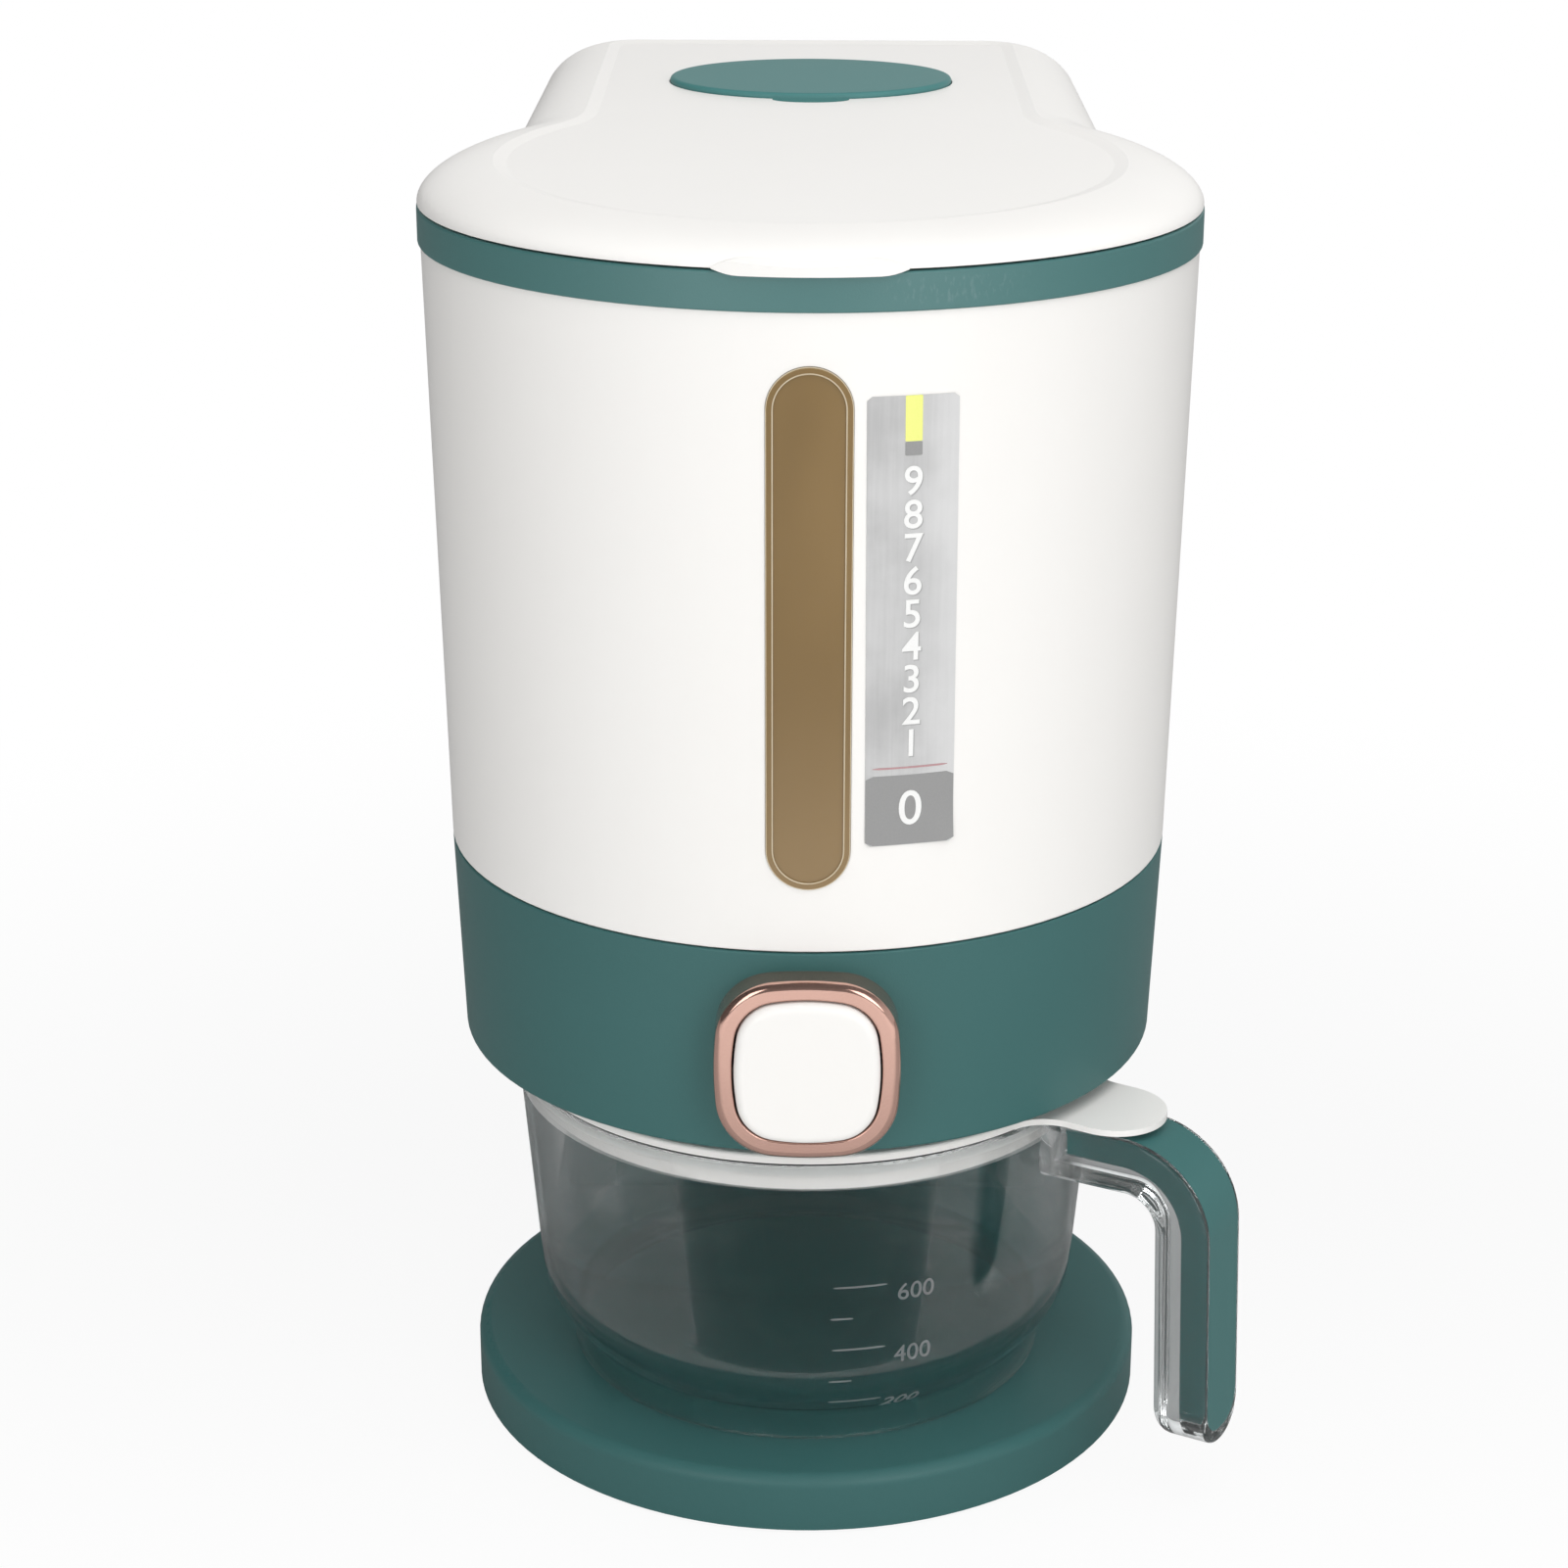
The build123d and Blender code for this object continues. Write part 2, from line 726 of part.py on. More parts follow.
# Lower housing: drafted bowl with a rounded bottom edge, outlet and button opening
with BuildPart() as lower_housing:
    add(body_form(housing_bottom, parting_height))
    fillet(lower_housing.faces().sort_by(Axis.Z)[0].edges(), housing_edge_radius)
    fillet(lower_housing.faces().sort_by(Axis.Z)[-1].edges(), seam_edge_radius)
    add(body_form(floor_top, parting_height, shell_wall), mode=Mode.SUBTRACT)
    with BuildSketch(Plane.XY.offset(housing_bottom)):
        with Locations((0, cup_y)):
            RectangleRounded(chute_length, chute_depth, chute_corner)
        with Locations(*column_screw_places):
            Circle(screw_radius + pin_gap)
    extrude(amount=housing_floor, mode=Mode.SUBTRACT)
    with BuildSketch(front_plane(button_front)):
        add(button_outline(button_gap))
    extrude(amount=-button_depth, mode=Mode.SUBTRACT)
lower_housing.part.label = "lower_housing"
export_step(lower_housing.part, "parts/lower_housing.step")

# Button bezel: bevelled ring whose back follows the housing wall
with BuildPart() as button_bezel:
    with BuildSketch(front_plane(bezel_front)):
        add(button_outline(button_gap + bezel_rim))
    extrude(amount=-bezel_seat_depth)
    fillet(button_bezel.faces().sort_by(Axis.Y)[0].edges(), bezel_bevel)
    with BuildSketch(front_plane(bezel_front)):
        add(button_outline(button_gap))
    extrude(amount=-bezel_seat_depth, mode=Mode.SUBTRACT)
    fillet(button_bezel.faces().sort_by(Axis.Y)[0].inner_wires()[0].edges(), bezel_inner_edge)
    add(body_form(housing_bottom - bezel_rim, parting_height), mode=Mode.SUBTRACT)
button_bezel.part.label = "button_bezel"
export_step(button_bezel.part, "parts/button_bezel.step")

# Button cap: hollow squircle with a softened front edge
with BuildPart() as button_cap:
    with BuildSketch(front_plane(button_front)):
        add(button_outline(0))
    extrude(amount=-button_depth)
    fillet(button_cap.faces().sort_by(Axis.Y)[0].edges(), button_edge_radius)
    with BuildSketch(front_plane(button_front - button_face)):
        add(button_outline(-button_wall))
    extrude(amount=button_face - button_depth, mode=Mode.SUBTRACT)
button_cap.part.label = "button_cap"
export_step(button_cap.part, "parts/button_cap.step")

# Gate guide: frame on the housing floor with two rails and the spring post
with BuildPart() as gate_guide:
    with BuildSketch(Plane.XY.offset(floor_top)):
        with Locations((0, cup_y)):
            Rectangle(2 * rail_x + rail_width, 2 * rail_half_length)
            RectangleRounded(chute_length, chute_depth, chute_corner, mode=Mode.SUBTRACT)
        with Locations((0, (post_y + cup_y - rail_half_length) / 2)):
            Rectangle(2 * post_half_width, cup_y - rail_half_length - post_y)
    extrude(amount=guide_plate)
    with BuildSketch(Plane.XY.offset(floor_top)):
        with Locations((-rail_x, cup_y), (rail_x, cup_y)):
            Rectangle(rail_width, 2 * rail_half_length)
    extrude(amount=hopper_bottom - floor_top)
    with BuildSketch(Plane.XY.offset(floor_top)):
        with Locations((0, post_y + post_depth / 2)):
            Rectangle(2 * post_half_width, post_depth)
    extrude(amount=post_top - floor_top)
    with BuildSketch(Plane(origin=(0, post_y, spring_level), x_dir=(1, 0, 0), z_dir=(0, -1, 0))):
        Circle(spring_boss_radius)
    extrude(amount=spring_boss_length)
    with BuildSketch(Plane.XY.offset(hopper_bottom)):
        with Locations(*rail_screw_places):
            Circle(screw_radius + pin_gap)
    extrude(amount=floor_top - hopper_bottom, mode=Mode.SUBTRACT)
gate_guide.part.label = "gate_guide"
export_step(gate_guide.part, "parts/gate_guide.step")

# Shutter gate: slotted plate on two arms, with an upright push plate behind the button
with BuildPart() as shutter_gate:
    with BuildSketch(Plane.XY.offset(gate_bottom)):
        with Locations((0, cup_y)):
            Rectangle(2 * gate_half_width, 2 * gate_half_depth)
        with Locations((-gate_arm_x, gate_arm_middle), (gate_arm_x, gate_arm_middle)):
            Rectangle(gate_arm_width, gate_arm_length)
        with Locations((0, cup_y - button_travel)):
            with GridLocations(0, slot_pitch, 1, slot_count):
                RectangleRounded(slot_length, slot_width, slot_corner, mode=Mode.SUBTRACT)
    extrude(amount=gate_thickness)
    with BuildSketch(Plane.XY.offset(gate_bottom)):
        with Locations((0, push_plate_front + push_plate / 2)):
            Rectangle(2 * push_plate_half_width, push_plate)
    extrude(amount=push_plate_top - gate_bottom)
    for side in (-1, 1):
        with BuildSketch(Plane.YZ.offset(side * gate_arm_x - gusset / 2)):
            with BuildLine():
                Polyline((push_plate_back, gate_bottom),
                         (push_plate_back, push_plate_top - gate_thickness),
                         (push_plate_back + gusset_reach, gate_bottom), close=True)
            make_face()
        extrude(amount=gusset)
    with BuildSketch(Plane(origin=(0, push_plate_back, spring_level), x_dir=(1, 0, 0),
                           z_dir=(0, 1, 0))):
        Circle(spring_boss_radius)
    extrude(amount=spring_boss_length)
shutter_gate.part.label = "shutter_gate"
export_step(shutter_gate.part, "parts/shutter_gate.step")

# Return spring: coil between the push plate and the post
with BuildPart() as return_spring:
    with BuildLine():
        Helix(pitch=spring_span / spring_turns, height=spring_span, radius=spring_radius,
              center=(0, push_plate_back + spring_wire / 2 + spring_seat_gap, spring_level),
              direction=(0, 1, 0))
    coil_start = return_spring.pending_edges[0] @ 0
    with BuildSketch(Plane(origin=coil_start, z_dir=return_spring.pending_edges[0] % 0)):
        Circle(spring_wire / 2)
    sweep(is_frenet=True)
return_spring.part.label = "return_spring"
export_step(return_spring.part, "parts/return_spring.step")

# Room for the hopper inside the container wall and, lower down, inside its spigot
with BuildPart() as hopper_room:
    add(body_form(spigot_root_top, container_top, shell_wall + fit_gap))
    add(body_form(parting_height, spigot_root_top, 2 * shell_wall + 2 * fit_gap))
    add(body_form(hopper_bottom, parting_height, 2 * shell_wall + 2 * fit_gap))

# Hopper: sloped funnel to a slotted outlet plate that stands on the rails
with BuildPart() as hopper:
    for level, grow in ((hopper_bottom, hopper_wall), (hopper_bottom + hopper_wall, 0)):
        with BuildSketch(Plane.XY.offset(level)):
            add(outlet_plan(-grow))
        with BuildSketch(rim_plane):
            add(rim_plan(-grow))
        loft(ruled=True, mode=Mode.ADD if grow else Mode.SUBTRACT)
    add(hopper_room.part, mode=Mode.INTERSECT)
    with BuildSketch(Plane.XY.offset(hopper_bottom)):
        with Locations((0, cup_y)):
            Rectangle(2 * rail_x + rail_width, 2 * rail_half_length)
    extrude(amount=hopper_wall)
    with BuildSketch(Plane.XY.offset(hopper_bottom)):
        with Locations((0, cup_y)):
            with GridLocations(0, slot_pitch, 1, slot_count):
                RectangleRounded(slot_length, slot_width, slot_corner)
        with Locations(*rail_screw_places):
            Circle(screw_radius + pin_gap)
    extrude(amount=hopper_wall, mode=Mode.SUBTRACT)
hopper.part.label = "hopper"
export_step(hopper.part, "parts/hopper.step")

# Hopper screws: through the outlet plate into the rails
with BuildPart() as hopper_screws:
    with BuildSketch(Plane.XY.offset(hopper_bottom + hopper_wall)):
        with Locations(*rail_screw_places):
            Circle(screw_head_radius)
    extrude(amount=screw_head)
    with BuildSketch(Plane.XY.offset(hopper_bottom + hopper_wall)):
        with Locations(*rail_screw_places):
            Circle(screw_radius)
    extrude(amount=-rail_screw_length)
hopper_screws.part.label = "hopper_screws"
export_step(hopper_screws.part, "parts/hopper_screws.step")

# Spigot of the container: a stepped collar that reaches down inside the housing wall
with BuildPart() as spigot:
    add(body_form(parting_height - spigot_depth, parting_height, shell_wall + fit_gap))
    add(body_form(parting_height, parting_height + spigot_root, shell_wall - spigot_bite))
    add(body_form(parting_height - spigot_depth, parting_height, 2 * shell_wall + fit_gap),
        mode=Mode.SUBTRACT)
    add(body_form(parting_height, parting_height + spigot_root, 2 * shell_wall + fit_gap),
        mode=Mode.SUBTRACT)

# Container shell: drafted wall with a spigot into the housing and the window opening
with BuildPart() as container_shell:
    add(body_form(parting_height + seam_gap, container_top))
    fillet(container_shell.faces().sort_by(Axis.Z)[0].edges(), seam_edge_radius)
    add(body_form(parting_height + seam_gap, container_top, shell_wall), mode=Mode.SUBTRACT)
    add(spigot.part)
    with BuildSketch(window_plane):
        SlotOverall(window_height, window_width, rotation=90)
    extrude(amount=-window_cut, mode=Mode.SUBTRACT)
container_shell.part.label = "container_shell"
export_step(container_shell.part, "parts/container_shell.step")

# Level window: clear strip in the container wall, with a raised border
with BuildPart() as window_recess:
    with BuildSketch(window_plane.offset(window_proud)):
        SlotOverall(window_height - 2 * window_border, window_width - 2 * window_border, rotation=90)
    extrude(amount=-window_cut)
    add(body_form(window_bottom - window_border, window_top + window_border), mode=Mode.SUBTRACT)

with BuildPart() as level_window:
    add(body_form(window_bottom - window_border, window_top + window_border, -window_proud))
    add(body_form(window_bottom - window_border, window_top + window_border, shell_wall),
        mode=Mode.SUBTRACT)
    with BuildSketch(window_plane.offset(window_proud)):
        SlotOverall(window_height - 2 * fit_gap, window_width - 2 * fit_gap, rotation=90)
    extrude(amount=-window_cut, mode=Mode.INTERSECT)
    add(window_recess.part, mode=Mode.SUBTRACT)
    fillet(level_window.edges().filter_by(window_rim), window_edge_radius)
level_window.part.label = "level_window"
export_step(level_window.part, "parts/level_window.step")

# Top ring: band on the container mouth, with an inner lip and the ears of the lid hinge
with BuildPart() as top_ring:
    with BuildSketch(Plane.XY.offset(container_top)):
        add(plan())
        add(plan(ring_section), mode=Mode.SUBTRACT)
    extrude(amount=ring_top - container_top)
    fillet(top_ring.faces().sort_by(Axis.Z)[-1].outer_wire().edges(), ring_edge_radius)
    fillet(top_ring.faces().sort_by(Axis.Z)[0].outer_wire().edges(), seam_edge_radius)
    with BuildSketch(Plane.XY.offset(container_top)):
        add(plan(container_top_inset + shell_wall + ring_lip_gap))
        add(plan(ring_section), mode=Mode.SUBTRACT)
    extrude(amount=-ring_lip_depth)
    for ear_x in ear_places:
        with BuildSketch(Plane.YZ.offset(ear_x)):
            add(hinge_arm(container_top + ring_edge_radius, ring_top - ear_root_drop,
                          hinge_pin_radius + hinge_pin_fit))
        extrude(amount=ear_width / 2, both=True)
top_ring.part.label = "top_ring"
export_step(top_ring.part, "parts/top_ring.step")

# Hinge pins: one through each lid knuckle and its two ears
with BuildPart() as hinge_pins:
    for pin_x in (-knuckle_x, knuckle_x):
        with BuildSketch(Plane.YZ.offset(pin_x)):
            with Locations((hinge_y, hinge_height)):
                Circle(hinge_pin_radius)
        extrude(amount=knuckle_width / 2 + running_gap + ear_width, both=True)
hinge_pins.part.label = "hinge_pins"
export_step(hinge_pins.part, "parts/hinge_pins.step")

# Hollow of the lid, with the wall of the inner skirt left standing
with BuildPart() as lid_hollow:
    add(lid_form(lid_edge_inset + lid_wall, lid_wall))
    with BuildSketch(Plane.XY.offset(lid_bottom)):
        add(plan(skirt_inset))
        add(plan(skirt_inset + skirt_wall), mode=Mode.SUBTRACT)
    extrude(amount=lid_reach, mode=Mode.SUBTRACT)
    with BuildSketch(lid_plane(1)):
        with Locations((0, cap_y)):
            Ellipse(cap_half_width + collar_margin, cap_half_depth + collar_margin)
    extrude(amount=-(panel_recess + cap_seat_depth + collar_floor), mode=Mode.SUBTRACT)

# Finger lip of the lid: a low swelling that dips over the front of the ring
with BuildPart() as finger_lip:
    with BuildSketch(Plane.XY.offset(ring_top - lip_drop)):
        add(lip_sector(ring_radius + running_gap))
    extrude(amount=lid_bottom + lip_rise - ring_top + lip_drop)
    with BuildSketch(Plane.XY.offset(lid_bottom)):
        add(lip_sector(ring_radius - lid_wall))
    extrude(amount=lip_rise)
    with BuildSketch(Plane.XZ) as lip_front:
        with BuildLine():
            Polyline((-lip_half_width, lid_bottom), (lip_run - lip_half_width, ring_top - lip_drop),
                     (lip_half_width - lip_run, ring_top - lip_drop), (lip_half_width, lid_bottom),
                     (lip_half_width, lid_bottom + lip_end),
                     (lip_half_width - lip_run, lid_bottom + lip_rise),
                     (lip_run - lip_half_width, lid_bottom + lip_rise),
                     (-lip_half_width, lid_bottom + lip_end), close=True)
        make_face()
        bends = lip_front.vertices().filter_by(lambda corner: abs(corner.X) < lip_half_width - fit_gap)
        fillet(bends, lip_curve)
    extrude(amount=2 * ring_radius, mode=Mode.INTERSECT)
    with BuildSketch(Plane.YZ):
        with BuildLine():
            Polyline((0, lid_bottom + lip_rise), (lid_wall - ring_radius, lid_bottom + lip_rise),
                     (-lip_radius, lid_bottom + lip_shoulder), (-lip_radius, ring_top - lip_drop),
                     (0, ring_top - lip_drop), close=True)
        make_face()
    extrude(amount=ring_radius, both=True, mode=Mode.INTERSECT)

# Lid: rounded border round a tilted panel, seat of the cap, front lip and hinge knuckles
with BuildPart() as lid:
    add(lid_form(lid_edge_inset, 0))
    add(lid_hollow.part, mode=Mode.SUBTRACT)
    with BuildSketch(Plane.XY.offset(skirt_bottom)):
        add(plan(skirt_inset))
        add(plan(skirt_inset + skirt_wall), mode=Mode.SUBTRACT)
    extrude(amount=lid_bottom - skirt_bottom)
    with BuildSketch(Plane.XY.offset(gasket_bottom)):
        add(plan(skirt_inset - gasket_groove))
        add(plan(skirt_inset + gasket_groove), mode=Mode.SUBTRACT)
    extrude(amount=gasket_height, mode=Mode.SUBTRACT)
    for depth, inset in ((0, panel_margin - panel_slope), (panel_recess, panel_margin)):
        with BuildSketch(lid_plane(1).offset(-depth)):
            add(plan(lid_border + inset))
    loft(ruled=True, mode=Mode.SUBTRACT)
    with BuildSketch(lid_plane(1)):
        with Locations((0, cap_y)):
            Ellipse(cap_half_width + cap_gap, cap_half_depth + cap_gap)
        with Locations((0, cap_y - cap_half_depth)):
            Ellipse(notch_half_width, notch_half_depth)
    extrude(amount=-panel_recess - cap_seat_depth, mode=Mode.SUBTRACT)
    with BuildSketch(lid_plane(1)):
        with Locations((0, cap_y)):
            Ellipse(cap_half_width - cap_seat_width, cap_half_depth - cap_seat_width)
    extrude(amount=-lid_reach, mode=Mode.SUBTRACT)
    add(finger_lip.part)
    for arm_x in (-knuckle_x, knuckle_x):
        with BuildSketch(Plane.YZ.offset(arm_x)):
            add(hinge_arm(ring_top + knuckle_root_rise,
                          ring_top + knuckle_root_rise + knuckle_root_height,
                          hinge_pin_radius + pin_gap))
        extrude(amount=knuckle_width / 2, both=True)
lid.part.label = "lid"
export_step(lid.part, "parts/lid.step")

# Lid gasket: silicone ring in the groove of the skirt
with BuildPart() as lid_gasket:
    with BuildSketch(Plane.XY.offset(gasket_bottom + fit_gap)):
        add(plan(ring_section + gasket_gap))
        add(plan(skirt_inset + gasket_groove - fit_gap), mode=Mode.SUBTRACT)
    extrude(amount=gasket_height - 2 * fit_gap)
lid_gasket.part.label = "lid_gasket"
export_step(lid_gasket.part, "parts/lid_gasket.step")

# Moisture cap: oval disc in its seat, with a barrel through the lid
with BuildPart() as moisture_cap:
    with BuildSketch(cap_plane):
        with Locations((0, cap_y)):
            Ellipse(cap_half_width, cap_half_depth)
    extrude(amount=cap_thickness)
    fillet(moisture_cap.faces().sort_by(Axis.Z)[-1].edges(), cap_edge_radius)
    with BuildSketch(cap_plane):
        with Locations((0, cap_y)):
            Ellipse(barrel_half_width, barrel_half_depth)
            Ellipse(barrel_half_width - cap_wall, barrel_half_depth - cap_wall, mode=Mode.SUBTRACT)
    extrude(amount=-cap_barrel_depth)
moisture_cap.part.label = "moisture_cap"
export_step(moisture_cap.part, "parts/moisture_cap.step")

# Desiccant basket: oval cup pushed into the barrel, with slots in its floor
with BuildPart() as desiccant_basket:
    with BuildSketch(cap_plane):
        with Locations((0, cap_y)):
            Ellipse(barrel_half_width - cap_wall - fit_gap, barrel_half_depth - cap_wall - fit_gap)
    extrude(amount=-basket_depth)
    with BuildSketch(cap_plane):
        with Locations((0, cap_y)):
            Ellipse(barrel_half_width - cap_wall - fit_gap - basket_wall,
                    barrel_half_depth - cap_wall - fit_gap - basket_wall)
    extrude(amount=basket_wall - basket_depth, mode=Mode.SUBTRACT)
    with BuildSketch(cap_plane.offset(-basket_depth)):
        with Locations((0, cap_y)):
            with GridLocations(basket_slot_pitch, 0, basket_slots, 1):
                SlotOverall(basket_slot_length, basket_slot_width, rotation=90)
    extrude(amount=basket_wall, mode=Mode.SUBTRACT)
desiccant_basket.part.label = "desiccant_basket"
export_step(desiccant_basket.part, "parts/desiccant_basket.step")

# Clear handle of the cup: rounded inverted L with a pocket for the grip
with BuildPart() as handle:
    with BuildSketch(handle_plane):
        add(handle_side(0, handle_thickness, cup_mouth_radius - cup_wall, handle_bottom))
    extrude(amount=handle_width / 2, both=True)
    with BuildSketch(handle_end_plane) as handle_end:
        with Locations((0, (handle_top + handle_bottom) / 2)):
            Rectangle(handle_width, handle_top - handle_bottom)
        fillet(handle_end.vertices().group_by(Axis.Y)[0], handle_end_radius)
    extrude(amount=2 * handle_outer, mode=Mode.INTERSECT)
    for depth, softness in ((0, handle_edge_radius), (handle_thickness, handle_inner_edge)):
        rim = handle.edges().filter_by(lambda edge: abs(handle_depth(edge) - depth) < fit_gap)
        fillet([edge for edge in rim if abs(handle_offset(edge)) > fit_gap
                or edge.center().Z < handle_bottom + fit_gap], softness)
    add(grip_form(0), mode=Mode.SUBTRACT)

# Measuring cup: turned bowl with a rounded rim and a foot ring, joined to its handle
with BuildPart() as measuring_cup:
    with BuildSketch(cup_plane):
        with BuildLine():
            Polyline((corner_x, cup_bottom), (0, cup_bottom), (0, cup_bottom + cup_wall),
                     (corner_x, cup_bottom + cup_wall))
            CenterArc((corner_x, corner_z), cup_corner - cup_wall, -90, 90)
            Polyline((cup_shoulder_radius - cup_wall, corner_z),
                     (cup_mouth_radius - cup_wall, cup_top), (cup_mouth_radius, cup_top),
                     (cup_shoulder_radius, corner_z))
            CenterArc((corner_x, corner_z), cup_corner, 0, -90)
        make_face()
        with BuildLine():
            Polyline((cup_foot_radius - cup_foot_wall, cup_foot_bottom),
                     (cup_foot_radius, cup_foot_bottom), (cup_foot_radius, foot_join),
                     (cup_foot_radius - cup_foot_wall, foot_join), close=True)
        make_face()
    revolve(axis=cup_axis)
    fillet(measuring_cup.faces().sort_by(Axis.Z)[-1].edges(), cup_edge_radius)
    foot = measuring_cup.faces().sort_by(Axis.Z)[0]
    fillet(foot.outer_wire().edges(), cup_edge_radius)
    add(handle.part.rotate(handle_root, handle_lean))
measuring_cup.part.label = "measuring_cup"
export_step(measuring_cup.part, "parts/measuring_cup.step")

# Handle grip: insert that fills the pocket, flush with the outer face
with BuildPart() as handle_grip:
    add(grip_form(grip_gap).rotate(handle_root, handle_lean))
handle_grip.part.label = "handle_grip"
export_step(handle_grip.part, "parts/handle_grip.step")

# Cup cover: flanged ring with a skirt inside the rim, drain slots and a thumb tab
with BuildPart() as cup_cover:
    with BuildSketch(cup_plane):
        with BuildLine():
            Polyline((cover_mouth_radius, cover_top_level), (cover_flange_radius, cover_top_level),
                     (cover_flange_radius, cover_bottom), (skirt_radius, cover_bottom),
                     (skirt_radius, cover_bottom - cover_skirt_depth),
                     (skirt_radius - cover_skirt_wall, cover_bottom - cover_skirt_depth),
                     (skirt_radius - cover_skirt_wall, cover_top_level - cover_plate_thickness),
                     (cover_mouth_radius, cover_top_level - cover_plate_thickness), close=True)
        make_face()
    revolve(axis=cup_axis)
    fillet(cup_cover.edges().filter_by(GeomType.CIRCLE).sort_by(SortBy.RADIUS)[-2:], cover_edge_radius)
    for level, top, inner in ((cover_bottom - tab_drop, cover_bottom, cover_flange_radius),
                              (cover_bottom, cover_bottom - tab_drop + tab_thickness,
                               cover_flange_radius - tab_bite)):
        with BuildSketch(Plane(origin=(0, cup_y, level), x_dir=handle_direction, z_dir=(0, 0, 1))):
            add(tab_outline(inner))
        extrude(amount=top - level)
    with BuildSketch(Plane(origin=(0, cup_y, cover_top_level), x_dir=handle_direction, z_dir=(0, 0, 1))):
        with PolarLocations(drain_radius, drain_count, drain_start, drain_spread * (drain_count - 1)):
            SlotOverall(drain_length, drain_width)
    extrude(amount=-cover_plate_thickness, mode=Mode.SUBTRACT)
cup_cover.part.label = "cup_cover"
export_step(cup_cover.part, "parts/cup_cover.step")
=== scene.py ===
# %% [markdown]
# # A counter-top rice dispenser
# The solids of the dispenser come ready made from the CAD model, with every hinge and slide in
# place. This lesson dresses them: it gives each moulding its plastic, sticks a scale on the
# container, moulds the measure marks on the cup, and sets up a plain white studio. We start by
# loading the solids, with a helper that measures the box of one of them. Nothing that is added
# later may make the dispenser larger.

# %% Load the solids
import math

import bpy
from mathutils import Matrix, Vector


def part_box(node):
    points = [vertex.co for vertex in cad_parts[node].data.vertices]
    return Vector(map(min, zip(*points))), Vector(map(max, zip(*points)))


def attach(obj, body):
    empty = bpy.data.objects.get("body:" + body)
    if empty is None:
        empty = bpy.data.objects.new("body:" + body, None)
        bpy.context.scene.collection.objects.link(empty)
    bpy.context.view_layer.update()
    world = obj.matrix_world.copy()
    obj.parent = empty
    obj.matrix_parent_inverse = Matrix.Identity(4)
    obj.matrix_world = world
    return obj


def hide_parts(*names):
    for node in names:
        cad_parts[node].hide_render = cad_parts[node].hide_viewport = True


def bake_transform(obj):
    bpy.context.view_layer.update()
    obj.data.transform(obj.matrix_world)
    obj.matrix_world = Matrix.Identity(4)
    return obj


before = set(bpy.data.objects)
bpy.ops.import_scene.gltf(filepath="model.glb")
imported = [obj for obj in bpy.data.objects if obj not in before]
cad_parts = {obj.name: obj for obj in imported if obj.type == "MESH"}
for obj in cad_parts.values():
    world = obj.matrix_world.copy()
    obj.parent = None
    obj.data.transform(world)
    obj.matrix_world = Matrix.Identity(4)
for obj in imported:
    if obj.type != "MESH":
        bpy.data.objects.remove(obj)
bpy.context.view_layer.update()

# %% [markdown]
# ## Writing shaders as sums
# A shader is a graph of nodes, and a long graph is easier to read as a formula. The class below
# wraps one output of a node. Adding, taking away and multiplying make Math nodes, also when the
# plain number comes first, and `node` makes every other kind: first its settings, then the values
# or links of its sockets. The rest are short words for the nodes that this object needs most.

# %% A socket that can be calculated with
class Sock:
    """One output of a shader node, on which ordinary arithmetic adds Math nodes."""

    def __init__(self, tree, output=None):
        self.tree, self.output = tree, output

    def node(self, kind, settings=None, sockets=None, out=0):
        """Makes a node: its settings first, then the values or links of its sockets."""
        made = self.tree.nodes.new(kind)
        for name, setting in (settings or {}).items():
            setattr(made, name, setting)
        for name, value in (sockets or {}).items():
            if isinstance(value, Sock):
                self.tree.links.new(value.output, made.inputs[name])
            else:
                made.inputs[name].default_value = value
        return Sock(self.tree, made.outputs[out] if made.outputs else None)

    def math(self, operation, *terms):
        return self.node("ShaderNodeMath", {"operation": operation}, dict(enumerate(terms)))

    def __add__(self, other): return self.math("ADD", self, other)
    def __sub__(self, other): return self.math("SUBTRACT", self, other)
    def __rsub__(self, other): return self.math("SUBTRACT", other, self)
    def __mul__(self, other): return self.math("MULTIPLY", self, other)
    __radd__, __rmul__ = __add__, __mul__

    def larger(self, other):
        """The larger of the two values."""
        return self.math("MAXIMUM", self, other)

    def ramp(self, low, high, to_low=0.0, to_high=1.0):
        """Maps low..high smoothly onto to_low..to_high, and stays inside them."""
        return self.node("ShaderNodeMapRange", {"interpolation_type": "SMOOTHSTEP"},
                         {0: self, 1: low, 2: high, 3: to_low, 4: to_high})

    def between(self, start, full, fade, end):
        """1 from full to fade, and smoothly down to 0 at start and end."""
        return self.ramp(start, full) * (1.0 - self.ramp(fade, end))

    def tint(self, first, second):
        """A colour that goes from first to second as this socket goes from 0 to 1."""
        return self.node("ShaderNodeMix", {"data_type": "RGBA"}, {0: self, 6: first, 7: second}, 2)

    def axes(self):
        """The x, y and z of these coordinates, as three sockets."""
        split = self.node("ShaderNodeSeparateXYZ", None, {0: self}).output.node
        return [Sock(self.tree, axis) for axis in split.outputs]

    def noise(self, scale, detail):
        """Noise at this many blotches per metre, on these coordinates."""
        return self.node("ShaderNodeTexNoise", None,
                         {"Vector": self, "Scale": scale, "Detail": detail}, "Fac")

    def upright(self, share):
        """These coordinates with their height scaled, which draws a noise out upright."""
        return self.node("ShaderNodeMapping", None, {"Vector": self, "Scale": (1.0, 1.0, share)})

    def bump(self, height, distance):
        """A normal that is dented by this height, in metres of relief."""
        return self.node("ShaderNodeBump", None, {"Height": height, "Distance": distance}, "Normal")

    def ray(self, kind):
        """1 for light paths of this kind, 0 for all others."""
        return self.node("ShaderNodeLightPath", out=f"Is {kind} Ray")

print("socket class ready")

